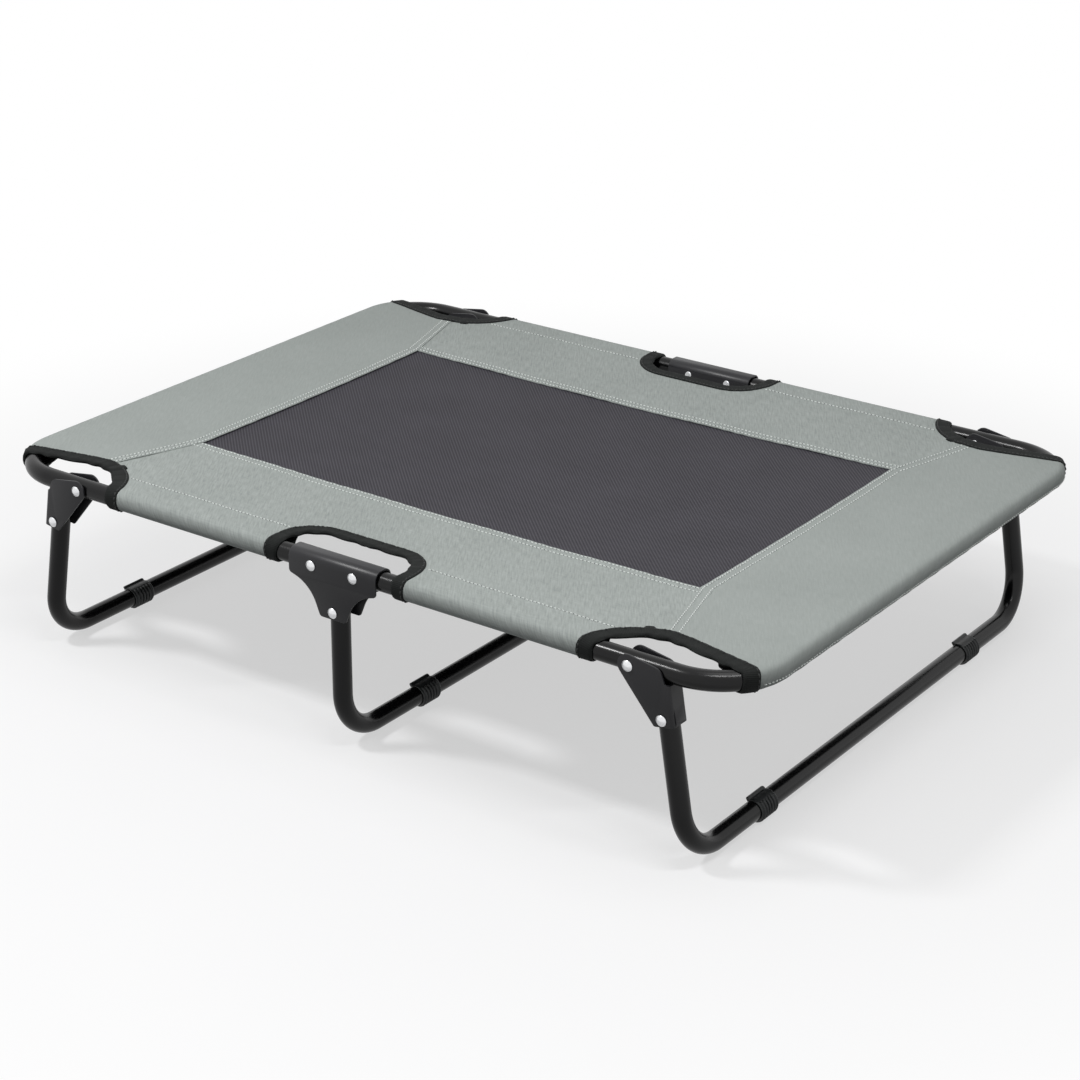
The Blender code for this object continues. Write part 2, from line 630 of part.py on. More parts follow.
def makeMiddleBinding():
    reach = HINGE_RIVET_X - GAP / 2
    flat = sheet("middle binding", -reach, reach, -FRAME_HALF_WIDTH, 0, BINDING_THICKNESS)
    return sewn(flat, [], [(hingeCut, BINDING_WIDTH)], [(hingeCut, 0)])


def place(name, model, signs, pivot, material, origin=None):
    # a mirrored copy of a model under its pivot, with its own mesh and origin
    mesh = model.data.copy()
    mesh.name = name
    mesh.transform(Matrix.Diagonal((*signs, 1, 1)))
    if signs[0] * signs[1] < 0:
        mesh.flip_normals()
    centre = Vector(pivot.location if origin is None else origin)
    if origin is None:
        mesh.transform(Matrix.Translation(-centre))
    mesh.materials.clear()
    mesh.materials.append(material)
    mesh.shade_smooth()
    mesh.set_sharp_from_angle(angle=SHADE_ANGLE)
    item = bpy.data.objects.new(name, mesh)
    bpy.context.scene.collection.objects.link(item)
    item.parent = pivot
    item.location = centre - pivot.location
    return item


def makeBed():
    materials = makeMaterials()
    sides = {"left": -1, "right": 1}
    faces = {"front": 1, "rear": -1}
    models = []

    def model(maker):
        models.append(maker())
        return models[-1]

    middle = makePivot("middle", (0, 0, FRAME_HEIGHT))
    halves = {}
    legs = {}
    for side, sign in sides.items():
        halves[side] = makePivot(side + "_half", (sign * HINGE_RIVET_X, 0, FRAME_HEIGHT))
        legs[side] = makePivot(side + "_leg", (sign * CORNER_RIVET_X, 0, FRAME_HEIGHT))

    frameTube = model(makeFrameTube)
    endLeg = model(makeEndLeg)
    middleLeg = model(makeMiddleLeg)
    cornerBracket = model(makeCornerBracket)
    hingeBracket = model(makeHingeBracket)
    rivet = model(makeRivet)
    foot = model(makeFoot)
    endPanel = model(makeEndPanel)
    sidePanel = model(makeSidePanel)
    meshPanel = model(makeMeshPanel)
    middleMesh = model(makeMiddleMesh)
    middleStrip = model(makeMiddleStrip)
    cornerBinding = model(makeCornerBinding)
    hingeBinding = model(makeHingeBinding)
    middleBinding = model(makeMiddleBinding)

    for side, sign in sides.items():
        place(side + "_frame_tube", frameTube, (sign, 1), halves[side], materials["tube"])
        place(side + "_leg_tube", endLeg, (sign, 1), legs[side], materials["tube"])
        place(side + "_end_panel", endPanel, (sign, 1), halves[side], materials["fabric"])
        place(side + "_mesh_panel", meshPanel, (sign, 1), halves[side], materials["mesh"])
    place("middle_leg_tube", middleLeg, (1, 1), middle, materials["tube"])
    place("middle_mesh_panel", middleMesh, (1, 1), middle, materials["mesh"])

    for face, turn in faces.items():
        y = -turn * FRAME_HALF_WIDTH
        footY = -turn * FOOT_Y
        place(face + "_hinge_bracket", hingeBracket, (1, turn), middle, materials["bracket"])
        place(face + "_middle_strip", middleStrip, (1, turn), middle, materials["fabric"])
        place(face + "_middle_binding", middleBinding, (1, turn), middle, materials["binding"])
        place(face + "_middle_leg_rivet", rivet, (1, turn), middle, materials["rivet"],
              (0, y, LEG_RIVET_HEIGHT))
        place(face + "_middle_foot", foot, (1, 1), middle, materials["rubber"], (0, footY, BAR_HEIGHT))
        for side, sign in sides.items():
            corner = side + "_" + face
            both = (sign, turn)
            half, leg = halves[side], legs[side]
            place(corner + "_side_panel", sidePanel, both, half, materials["fabric"])
            place(corner + "_corner_binding", cornerBinding, both, half, materials["binding"])
            place(corner + "_hinge_binding", hingeBinding, both, half, materials["binding"])
            place(corner + "_leg_bracket", cornerBracket, both, leg, materials["bracket"])
            place(corner + "_hinge_rivet", rivet, both, middle, materials["rivet"],
                  (sign * HINGE_RIVET_X, y, FRAME_HEIGHT))
            place(corner + "_upper_rivet", rivet, both, leg, materials["rivet"],
                  (sign * CORNER_RIVET_X, y, FRAME_HEIGHT))
            place(corner + "_lower_rivet", rivet, both, leg, materials["rivet"],
                  (sign * LEG_RIVET_X, y, LEG_RIVET_HEIGHT))
            place(corner + "_foot", foot, (1, 1), leg, materials["rubber"],
                  (sign * LEG_FOOT_X, footY, BAR_HEIGHT))

    for item in models:
        bpy.data.objects.remove(item)


clearScene()
makeBed()
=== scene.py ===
import math

import bmesh
import bpy
import numpy as np
from mathutils import Matrix, Vector
from mathutils.geometry import delaunay_2d_cdt


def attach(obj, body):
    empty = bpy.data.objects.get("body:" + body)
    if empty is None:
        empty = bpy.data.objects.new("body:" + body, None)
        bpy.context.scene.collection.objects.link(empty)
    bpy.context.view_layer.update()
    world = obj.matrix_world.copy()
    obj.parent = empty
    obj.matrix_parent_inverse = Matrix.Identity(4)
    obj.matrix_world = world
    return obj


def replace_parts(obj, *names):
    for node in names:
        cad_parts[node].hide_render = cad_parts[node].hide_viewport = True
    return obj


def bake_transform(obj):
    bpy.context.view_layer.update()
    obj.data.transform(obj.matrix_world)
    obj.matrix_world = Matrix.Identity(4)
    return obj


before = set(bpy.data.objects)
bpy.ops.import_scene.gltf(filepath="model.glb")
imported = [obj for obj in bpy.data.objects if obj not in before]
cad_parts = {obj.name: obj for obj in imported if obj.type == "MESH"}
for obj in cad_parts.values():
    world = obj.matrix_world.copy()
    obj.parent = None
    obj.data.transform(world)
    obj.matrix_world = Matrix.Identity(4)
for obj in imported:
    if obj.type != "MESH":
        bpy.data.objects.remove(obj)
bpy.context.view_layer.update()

# The bed's own sizes, in metres: left is -x, right +x, front -y, rear +y
bed = {
    "tubeRadius": 0.0095, "tubeWall": 0.0012, "height": 0.190,
    "halfLength": 0.436, "halfWidth": 0.325, "bend": 0.062,
    "hingeX": 0.025, "cornerX": 0.329, "legX": 0.365, "legHeight": 0.148,
    "footX": 0.388, "footY": 0.201, "barHeight": 0.0122,
    "legBend": 0.048, "legTop": 0.030, "middleLegTop": 0.195,
}
bendCentre = np.array((bed["halfLength"] - bed["bend"], bed["halfWidth"] - bed["bend"]))
legLean = math.atan2(bed["footX"] - bed["legX"], bed["legHeight"] - bed["barHeight"])


class Value:
    # a socket whose sums and products become Math nodes
    def __init__(self, tree, socket):
        self.tree, self.socket = tree, socket

    def output(self, name):
        # another output of the same node
        found = [one for one in self.socket.node.outputs if name in (one.name, one.identifier)]
        return Value(self.tree, found[0])

    def math(self, operation, other):
        return self.tree.math(operation, self, other)

    def clamped(self):
        return self.math("MINIMUM", 1.0).math("MAXIMUM", 0.0)

    def __add__(self, other):
        return self.math("ADD", other)

    def __sub__(self, other):
        return self.math("SUBTRACT", other)

    def __mul__(self, other):
        return self.math("MULTIPLY", other)

    def __rsub__(self, other):
        return self.tree.math("SUBTRACT", other, self)

    __radd__, __rmul__ = __add__, __mul__


class NodeTree:
    def __init__(self, tree):
        self.nodes, self.links = tree.nodes, tree.links

    def node(self, kind, settings=None, sockets=None):
        # adds a node, sets it, fills its sockets and gives its first output
        item = self.nodes.new("ShaderNode" + kind)
        for key, value in (settings or {}).items():
            setattr(item, key, value)
        for key, value in (sockets or {}).items():
            self.feed(item, key, value)
        return Value(self, item.outputs[0])

    def feed(self, item, key, value):
        if isinstance(key, int):
            socket = item.inputs[key]
        else:
            socket = [one for one in item.inputs if key in (one.name, one.identifier)][0]
        if isinstance(value, Value):
            self.links.new(value.socket, socket)
        else:
            socket.default_value = value

    def math(self, operation, *terms):
        return self.node("Math", {"operation": operation}, dict(enumerate(terms)))


class Finish(NodeTree):
    # one material, with its shader's fixed values
    def __init__(self, name, **constants):
        self.material = bpy.data.materials.new(name)
        self.material.use_nodes = True
        super().__init__(self.material.node_tree)
        self.shader = self.nodes["Principled BSDF"]
        self.set(**constants)

    def set(self, **sockets):
        for key, value in sockets.items():
            self.feed(self.shader, key.replace("_", " "), value)

    def mixColour(self, factor, first, second):
        mix = self.node("Mix", {"data_type": "RGBA"},
                        {"Factor_Float": factor, "A_Color": first, "B_Color": second})
        return mix.output("Result_Color")

    def scaled(self, vector, scale):
        return self.node("VectorMath", {"operation": "MULTIPLY"}, {0: vector, 1: scale})

    def clothPlace(self, scale=(1, 1, 1)):
        # the cut cloth's own plan, in metres
        return self.scaled(self.node("UVMap", {"uv_map": "cloth"}), scale)

    def place(self, scale=(1, 1, 1)):
        return self.scaled(self.node("TexCoord").output("Object"), scale)

    def noise(self, where, scale, detail=2.0, roughness=0.5):
        return self.node("TexNoise", None, {
            "Vector": where, "Scale": scale, "Detail": detail, "Roughness": roughness})

    def bump(self, height, distance, strength=1.0, under=None):
        sockets = {"Height": height, "Distance": distance, "Strength": strength}
        if under is not None:
            sockets["Normal"] = under
        return self.node("Bump", None, sockets)


def rgb(*levels):
    # screen levels 0-255 to the colour a material is given
    light = [((level / 255 + 0.055) / 1.055) ** 2.4 if level > 10 else level / 3294 for level in levels]
    return (*light, 1)


clothLook = {
    "light": rgb(174, 180, 177), "dark": rgb(129, 135, 132), "middle": 0.62,
    "thread": 0.0012, "slubWide": 0.0015, "slubLong": 0.016, "lean": 33,
    "roughness": 0.82, "bump": 0.00025, "creases": 0.0016,
}


def makeCloth(name, slub, contrast):
    # woven polyester: crossing threads, uneven slubs and broad handling marks
    look = clothLook
    cloth = Finish(name, Sheen_Weight=0.06, Sheen_Roughness=0.5, Specular_IOR_Level=0.3)
    flat = cloth.clothPlace()
    leaning = cloth.node("VectorRotate", {"rotation_type": "Z_AXIS"}, {
        "Vector": flat, "Angle": -math.radians(look["lean"])})
    wide, long = 1 / look["slubWide"], 1 / look["slubLong"]
    across = cloth.node("SeparateXYZ", None, {0: flat})
    turn = 2 * math.pi / look["thread"]
    warp = cloth.math("SINE", across * turn)
    weft = cloth.math("SINE", across.output("Y") * turn)
    weave = warp * weft * 0.5 + 0.5
    slubs = cloth.noise(cloth.scaled(leaning, (wide, long, 1)), 1.0)
    crossSlubs = cloth.noise(cloth.clothPlace((long, wide, 1)), 1.0)
    cloudy = cloth.noise(flat, 9.0, 3.0)
    tone = (slubs - 0.5) * slub + (crossSlubs - 0.5) * (slub * 0.4) + (cloudy - 0.5) * 0.35
    tone = tone + (weave - 0.5) * 0.30
    shade = (tone * contrast + look["middle"]).clamped()
    cloth.set(Base_Color=cloth.mixColour(shade, look["dark"], look["light"]))
    cloth.set(Roughness=(slubs - 0.5) * 0.12 + look["roughness"])
    height = weave * 0.55 + slubs * 0.6 + crossSlubs * 0.3
    creases = cloth.noise(cloth.clothPlace((1, 0.6, 1)), 26.0)
    soft = cloth.bump(creases, look["creases"], 0.35)
    cloth.set(Normal=cloth.bump(height, look["bump"], 0.8, soft))
    return cloth.material


meshLook = {
    # gap is painted shade: the dark of the mesh's open holes
    "yarn": rgb(72, 70, 77), "gap": rgb(20, 19, 23), "pitch": 0.0030, "roughness": 0.72, "bump": 0.0004,
}


def makeMeshCloth():
    # coated yarns crossing on the slant; the small gaps between them are painted shade, dark spots where the
    # mesh has open holes
    look = meshLook
    cloth = Finish("meshCloth", Specular_IOR_Level=0.2)
    flat = cloth.clothPlace()
    across = cloth.node("SeparateXYZ", None, {0: flat})
    along = across.output("Y")
    turn = 2 * math.pi / look["pitch"] * 0.7071      # both yarns run at 45 degrees
    one = cloth.math("SINE", (across + along) * turn)
    other = cloth.math("SINE", (along - across) * turn)
    yarn = one * 0.28 + other * 0.22 + 0.5
    cloudy = cloth.noise(flat, 14.0, 3.0)
    fine = cloth.noise(cloth.clothPlace((500, 500, 1)), 1.0, 1.0)
    shade = (yarn * 0.95 + (cloudy - 0.5) * 0.3 + (fine - 0.5) * 0.3 + 0.05).clamped()
    # the gap colour is painted shade in the mesh's open holes
    cloth.set(Base_Color=cloth.mixColour(shade, look["gap"], look["yarn"]))
    cloth.set(Roughness=look["roughness"] - yarn * 0.16)
    cloth.set(Normal=cloth.bump(yarn, look["bump"], 0.7))
    return cloth.material


tapeLook = {
    "dark": rgb(9, 11, 10), "light": rgb(29, 32, 31), "rib": 0.0014, "roughness": 0.72, "bump": 0.00025,
}


def makeTape():
    # ribbed binding tape, its ribs running across
    look = tapeLook
    tape = Finish("tapeCloth", Specular_IOR_Level=0.2)
    flat = tape.clothPlace()
    along = tape.node("SeparateXYZ", None, {0: flat})
    rib = tape.math("SINE", along * (2 * math.pi / look["rib"])) * 0.5 + 0.5
    fuzz = tape.noise(tape.clothPlace((900, 250, 1)), 1.0)
    cloudy = tape.noise(flat, 40.0)
    shade = (rib * 0.35 + (fuzz - 0.5) * 0.9 + (cloudy - 0.5) * 0.6 + 0.2).math("MAXIMUM", 0.0)
    tape.set(Base_Color=tape.mixColour(shade, look["dark"], look["light"]))
    tape.set(Roughness=fuzz * 0.15 + look["roughness"])
    soft = tape.bump(cloudy, 0.0008, 0.5)
    tape.set(Normal=tape.bump(rib + fuzz * 0.6, look["bump"], 0.7, soft))
    return tape.material


threadLook = {
    "pale": {"colour": rgb(238, 242, 240), "worn": rgb(206, 212, 208)},
    # painted shade: the colours of the short dark threads between stitches
    "paintedShade": {"colour": rgb(116, 121, 119), "worn": rgb(88, 93, 91)},
    "black": {"colour": rgb(60, 62, 61), "worn": rgb(24, 25, 25)},
}


def makeThread(kind):
    # twisted sewing thread, and one dark kind that is painted shade between the stitches
    look = threadLook[kind]
    thread = Finish(kind + "Thread", Specular_IOR_Level=0.3)
    spots = thread.noise(thread.place(), 1400.0, 1.0)
    thread.set(Base_Color=thread.mixColour(spots, look["worn"], look["colour"]))
    thread.set(Roughness=spots * 0.2 + 0.5)
    thread.set(Normal=thread.bump(spots, 0.0002, 0.6))
    return thread.material


paintLook = {
    "tube": {"colour": rgb(8, 8, 9), "worn": rgb(20, 20, 22),
             "roughness": 0.22, "gloss": 0.28, "grain": 260.0, "peel": 0.00001},
    "bracket": {"colour": rgb(33, 33, 36), "worn": rgb(49, 49, 51),
                "roughness": 0.36, "gloss": 0.34, "grain": 900.0, "peel": 0.0001},
}


def makePaint(kind):
    # painted steel: a slight orange peel, dull handling patches and paler rubbed spots
    look = paintLook[kind]
    paint = Finish(kind + "Paint", Specular_IOR_Level=look["gloss"])
    spot = paint.place()
    peel = paint.noise(spot, look["grain"])
    handled = paint.noise(spot, 18.0, 3.0, 0.6)
    rubbed = ((paint.noise(spot, 75.0, 4.0, 0.7) - 0.60) * 6.0).clamped() * 0.5
    paint.set(Base_Color=paint.mixColour(rubbed, look["colour"], look["worn"]))
    paint.set(Roughness=(handled - 0.5) * 0.10 + rubbed * 0.10 + look["roughness"])
    paint.set(Normal=paint.bump(peel, look["peel"], 0.3))
    return paint.material


rivetLook = {"dark": rgb(214, 215, 218), "light": rgb(242, 243, 244), "roughness": 0.10, "bump": 0.00004}


def makeRivetMetal():
    # plated steel, faintly brushed, with a few dull spots
    look = rivetLook
    metal = Finish("rivetMetal", Metallic=1.0)
    brushed = metal.noise(metal.place((900, 900, 2600)), 1.0)
    dull = metal.noise(metal.place(), 160.0, 3.0)
    metal.set(Base_Color=metal.mixColour(dull, look["dark"], look["light"]))
    metal.set(Roughness=dull * 0.16 + brushed * 0.06 + look["roughness"])
    metal.set(Normal=metal.bump(brushed, look["bump"], 0.5))
    return metal.material


rubberLook = {"colour": rgb(17, 20, 21), "dust": rgb(40, 46, 46), "roughness": 0.34, "bump": 0.0001}


def makeRubber():
    # moulded rubber, matt, dusty on its ribs
    look = rubberLook
    rubber = Finish("footRubber", Specular_IOR_Level=0.45)
    spot = rubber.place()
    grain = rubber.noise(spot, 1500.0)
    dusty = ((rubber.noise(spot, 110.0, 3.0) - 0.35) * 1.1).math("MAXIMUM", 0.0)
    rubber.set(Base_Color=rubber.mixColour(dusty, look["colour"], look["dust"]))
    rubber.set(Roughness=grain * 0.15 + look["roughness"])
    rubber.set(Normal=rubber.bump(grain, look["bump"], 0.5))
    return rubber.material


# each finish, with the name of its slot
finishes = {
    "side": (makeCloth("sideCloth", slub=1.25, contrast=1.0), "fabric"),
    "end": (makeCloth("endCloth", slub=0.6, contrast=0.9), "fabric"),
    "mesh": (makeMeshCloth(), "mesh"),
    "tape": (makeTape(), "binding"),
    "pale": (makeThread("pale"), "fabric"),
    # one thread finish is painted shade, for the short dark threads between stitches
    "paintedShade": (makeThread("paintedShade"), "fabric"),
    "black": (makeThread("black"), "binding"),
    "tube": (makePaint("tube"), "tube"),
    "bracket": (makePaint("bracket"), "bracket"),
    "rivet": (makeRivetMetal(), "rivet"),
    "rubber": (makeRubber(), "rubber"),
}
print("finishes made")


def addObject(name, data):
    item = bpy.data.objects.new(name, data)
    bpy.context.scene.collection.objects.link(item)
    return item


def makePiece(name, points, faces, finish, signs=(1, 1), plan=None, crease=40):
    # a mesh object, mirrored by its signs, smooth but for edges sharper than the crease angle
    material, slot = finishes[finish]
    points = np.array(points, float) * np.array((*signs, 1.0))
    if signs[0] * signs[1] < 0:
        faces = [tuple(reversed(face)) for face in faces]
    mesh = bpy.data.meshes.new(name)
    mesh.from_pydata([tuple(point) for point in points], [], [tuple(face) for face in faces])
    mesh.materials.append(material)
    if plan is not None:
        plan = np.array(plan, float) * np.array(signs)
        layer = mesh.uv_layers.new(name="cloth")
        corners = np.empty(len(mesh.loops), dtype=np.int32)
        mesh.loops.foreach_get("vertex_index", corners)
        layer.data.foreach_set("uv", plan[corners].astype(np.float32).ravel())
    smooth(mesh, math.radians(crease))
    item = addObject(name, mesh)
    return item


def smooth(mesh, limit):
    form = bmesh.new()
    form.from_mesh(mesh)
    for face in form.faces:
        face.smooth = True
    for edge in form.edges:
        edge.smooth = not edge.is_manifold or edge.calc_face_angle(0) < limit
    form.to_mesh(mesh)
    form.free()


def arc(centre, radius, start, end, steps):
    turns = np.linspace(start, end, steps + 1)
    return np.array(centre) + radius * np.stack((np.cos(turns), np.sin(turns)), 1)


def rounded(corners, steps, closed=True):
    # an outline of (x, y, fillet radius), its corners rounded by arcs
    outline = []
    count = len(corners)
    for i, (x, y, radius) in enumerate(corners):
        corner = Vector((x, y))
        if radius == 0 or (not closed and i in (0, count - 1)):
            outline.append(corner)
            continue
        back = (Vector(corners[i - 1][:2]) - corner).normalized()
        ahead = (Vector(corners[(i + 1) % count][:2]) - corner).normalized()
        half = back.angle(ahead) / 2
        centre = corner + (back + ahead).normalized() * radius / math.sin(half)
        start = corner + back * radius / math.tan(half) - centre
        turn = start.angle_signed(corner + ahead * radius / math.tan(half) - centre)
        for step in range(steps + 1):
            outline.append(centre + Matrix.Rotation(-turn * step / steps, 2) @ start)
    return np.array([tuple(point) for point in outline])


def bentPath(corners, bend, up, steps):
    # stations (point, side, up) along straight runs joined by bends
    stations = []
    for i, corner in enumerate(corners):
        if i in (0, len(corners) - 1):
            other = corners[1] if i == 0 else corners[-2]
            along = (other - corner).normalized() * (1 if i == 0 else -1)
            stations.append((corner, up.cross(along), up))
            continue
        into = (corner - corners[i - 1]).normalized()
        away = (corners[i + 1] - corner).normalized()
        side = up.cross(into)
        centre = corner - into * bend + side * bend
        for step in range(steps + 1):
            turn = Matrix.Rotation(into.angle(away) * step / steps, 3, up)
            stations.append((centre - (turn @ side) * bend, turn @ side, up))
    return stations


def bandFaces(rows, count, joinRows=False, joinEnds=True, flip=False, start=0):
    # quads between neighbouring rows of points; a row's own ends join unless it is told otherwise
    faces = []
    for row in range(rows if joinRows else rows - 1):
        a, b = start + row * count, start + (row + 1) % rows * count
        for k in range(count if joinEnds else count - 1):
            n = (k + 1) % count
            quad = (a + k, b + k, b + n, a + n)
            faces.append(quad[::-1] if flip else quad)
    return faces


def sweepTube(stations):
    # a round tube wall, open at both ends
    outer, inner = bed["tubeRadius"], bed["tubeRadius"] - bed["tubeWall"]
    turns = np.linspace(0, 2 * math.pi, tubes["sides"], endpoint=False)
    rings = [(outer, *station) for station in stations] + [(inner, *station) for station in stations[::-1]]
    points = [tuple(point + side * (radius * math.cos(turn)) + up * (radius * math.sin(turn)))
              for radius, point, side, up in rings for turn in turns]
    return points, bandFaces(len(rings), len(turns), joinRows=True, flip=True)


def solid(outline, low, high, matrix):
    # a prism on the outline, from low to high along the matrix's third axis
    form = bmesh.new()
    base = form.faces.new([form.verts.new(matrix @ Vector((a, b, low))) for a, b in outline])
    rise = matrix.to_3x3() @ Vector((0, 0, high - low))
    lifted = bmesh.ops.extrude_face_region(form, geom=[base])["geom"]
    moved = [item for item in lifted if isinstance(item, bmesh.types.BMVert)]
    bmesh.ops.translate(form, verts=moved, vec=rise)
    bmesh.ops.recalc_face_normals(form, faces=form.faces)
    mesh = bpy.data.meshes.new("tool")
    form.to_mesh(mesh)
    form.free()
    return addObject("tool", mesh)


def modify(item, kind, **settings):
    modifier = item.modifiers.new(kind, kind)
    for key, value in settings.items():
        setattr(modifier, key, value)
    with bpy.context.temp_override(object=item):
        bpy.ops.object.modifier_apply(modifier=modifier.name)


def combine(item, tool, operation):
    modify(item, "BOOLEAN", operation=operation, object=tool, solver="EXACT")
    bpy.data.objects.remove(tool)


def takeMesh(item):
    # the points and faces of a helper object, which is then removed
    form = bmesh.new()
    form.from_mesh(item.data)
    bmesh.ops.recalc_face_normals(form, faces=form.faces)
    points = [tuple(vert.co) for vert in form.verts]
    faces = [[vert.index for vert in face.verts] for face in form.faces]
    form.free()
    bpy.data.objects.remove(item)
    return points, faces


def framed(across, along, up, place):
    # a frame from its three axes and its place
    matrix = Matrix((across, along, up)).transposed().to_4x4()
    matrix.translation = place
    return matrix


sideways = Matrix(((1, 0, 0, 0), (0, 0, 1, 0), (0, 1, 0, 0), (0, 0, 0, 1)))
sides = {"left": -1, "right": 1}
fronts = {"front": 1, "rear": -1}      # a piece is modelled at the front, -y
far = 0.186                            # how far the cutting prisms reach


tubes = {"sides": 40, "bendSteps": 22, "endRadius": 0.0045}


def makeFrameTube():
    high = Vector((0, 0, bed["height"]))
    near = Vector((0, -bed["halfWidth"], 0)) + high
    over = Vector((0, bed["halfWidth"], 0)) + high
    reach = Vector((bed["halfLength"], 0, 0))
    up = Vector((0, 0, 1))
    stations = bentPath([near, near + reach, over + reach, over], bed["bend"], up, tubes["bendSteps"])
    item = makePiece("helper", *sweepTube(stations), "tube")
    hinge = (bed["hingeX"], bed["height"])
    end = arc(hinge, tubes["endRadius"], math.radians(270), math.radians(90), 16)
    outline = [(-far, hinge[1] + far), (-far, hinge[1] - far), (hinge[0], hinge[1] - far)]
    outline += [tuple(point) for point in end] + [(hinge[0], hinge[1] + far)]
    wide = bed["halfWidth"] + far
    combine(item, solid(outline, -wide, wide, sideways), "DIFFERENCE")
    return takeMesh(item)


def makeLegTube(topX, topZ, footX):
    across = Vector((0, bed["halfWidth"], 0))
    top = Vector((topX, 0, topZ))
    foot = Vector((footX, 0, bed["barHeight"]))
    up = (top - foot).normalized().cross(Vector((0, 1, 0)))
    corners = [top - across, foot - across, foot + across, top + across]
    stations = bentPath(corners, bed["legBend"], -up, tubes["bendSteps"])
    return sweepTube(stations)


frameTube = makeFrameTube()
endLeg = makeLegTube(bed["legX"] - bed["legTop"] * math.sin(legLean),
                     bed["legHeight"] + bed["legTop"] * math.cos(legLean), bed["footX"])
middleLeg = makeLegTube(0, bed["middleLegTop"], 0)
for side, sign in sides.items():
    item = makePiece(side + "FrameTube", *frameTube, "tube", (sign, 1))
    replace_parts(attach(item, side + "_half"), side + "_frame_tube")
    item = makePiece(side + "LegTube", *endLeg, "tube", (sign, 1))
    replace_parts(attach(item, side + "_leg"), side + "_leg_tube")
item = makePiece("middleLegTube", *middleLeg, "tube")
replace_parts(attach(item, "middle"), "middle_leg_tube")
print("tubes made")


brackets = {
    "inside": 0.0099, "outside": 0.0117, "sheet": 0.0018, "fold": 0.004, "hingeFold": 0.0088,
    "earRadius": 0.0105, "plateReach": 0.033, "plateFold": 0.009,
    "footDepth": 0.0065, "footWidth": 0.0087, "footCorner": 0.0022, "webRise": 0.0014, "notchRise": 0.004,
    "lipProud": 0.0010, "lipHeight": 0.017, "lipHalf": 0.0076, "overcut": 0.0003,
    "hingeHalf": 0.052, "sideDepth": 0.0125, "waist": 0.0269, "waistDepth": 0.0200, "curve": 0.038,
    "hingeFootHalf": 0.0152, "hingeFootDepth": 0.007, "corner": 0.004, "edge": 0.00035,
}


def channel(matrix, outside, fold):
    # the folded sheet's outer or inner form, open away from its web
    size = brackets["outside"] if outside else brackets["inside"]
    fold = fold if outside else fold - brackets["sheet"]
    outline = rounded([(far, -size, 0), (far, size, 0), (-size, size, fold), (-size, -size, fold)], 10)
    return solid(outline, -far, far, matrix)


def softEdges(item):
    # rounds the sheared edges a little
    modify(item, "BEVEL", width=brackets["edge"], segments=2, use_clamp_overlap=True,
           limit_method="ANGLE", angle_limit=math.radians(42))


def touchPoint(point, centre, radius, turn):
    # where a line from the point touches the circle
    toward = Vector(centre) - Vector(point)
    swing = turn * math.asin(radius / toward.length)
    along = Matrix.Rotation(swing, 2) @ toward.normalized()
    return Vector(point) + along * math.sqrt(toward.length ** 2 - radius ** 2)


def makeCornerBracket():
    size = brackets
    up = Vector((-math.sin(legLean), 0, math.cos(legLean)))
    inward = Vector((-math.cos(legLean), 0, -math.sin(legLean)))
    matrix = framed(inward, (0, 1, 0), up, (bed["legX"], -bed["halfWidth"], bed["legHeight"]))

    def onPlate(along, above):
        return (matrix @ Vector((along, 0, above))).xz

    past = -size["outside"] - size["overcut"]
    foot = onPlate(size["footWidth"], -size["footDepth"])
    heel = onPlate(past, -size["footDepth"])
    webEdge = onPlate(past, bed["legTop"] + size["webRise"])
    notch = onPlate(size["fold"] - size["outside"], bed["legTop"] + size["notchRise"])
    ear = Vector((bed["cornerX"], bed["height"]))
    touch = touchPoint(foot, ear, size["earRadius"], 1) - ear
    shoulder = Vector((bed["cornerX"] + size["plateReach"], bed["height"] + size["earRadius"] / 2))
    leave = touchPoint(shoulder, ear, size["earRadius"], -1) - ear
    start = math.atan2(touch.y, touch.x) % (2 * math.pi)
    earArc = arc(ear, size["earRadius"], start, math.atan2(leave.y, leave.x), 28)
    turn = rounded([(*notch, 0), (*shoulder, size["plateFold"]), (*(ear + leave), 0)], 12)
    footCorner = rounded([(*heel, 0), (*foot, size["footCorner"]), (*earArc[0], 0)], 6)[:-1]
    outline = np.vstack((footCorner, earArc, turn[:-1][::-1], [tuple(webEdge)]))
    reach = bed["halfWidth"] + far
    item = solid(outline, -reach, -bed["halfWidth"] + far, sideways)
    combine(item, channel(matrix, True, size["fold"]), "INTERSECT")
    web = -size["outside"]
    bulge = web - size["lipProud"]
    inset = web + size["sheet"] / 2
    low = size["overcut"] - size["footDepth"]
    top = low + size["lipHeight"]
    lip = [(inset, low), (web, low), (bulge, low + size["lipHeight"] / 5),
           (bulge, low + size["lipHeight"] / 2), (web, top), (inset, top)]
    combine(item, solid(lip, -size["lipHalf"], size["lipHalf"], matrix @ sideways), "UNION")
    combine(item, channel(matrix, False, size["fold"]), "DIFFERENCE")
    softEdges(item)
    return takeMesh(item)


def makeHingeBracket():
    size = brackets
    top = bed["height"]
    half = [(size["hingeHalf"], top + far, 0), (size["hingeHalf"], top - size["sideDepth"], size["corner"]),
            (size["waist"], top - size["waistDepth"], size["curve"]),
            (size["hingeFootHalf"], bed["legHeight"] - size["hingeFootDepth"], size["corner"])]
    corners = half + [(-x, z, radius) for x, z, radius in reversed(half)]
    reach = bed["halfWidth"] + far
    item = solid(rounded(corners, 10), -reach, -bed["halfWidth"] + far, sideways)
    matrix = framed((0, 0, -1), (0, 1, 0), (1, 0, 0), (0, -bed["halfWidth"], bed["height"]))
    combine(item, channel(matrix, True, size["hingeFold"]), "INTERSECT")
    combine(item, channel(matrix, False, size["hingeFold"]), "DIFFERENCE")
    softEdges(item)
    return takeMesh(item)


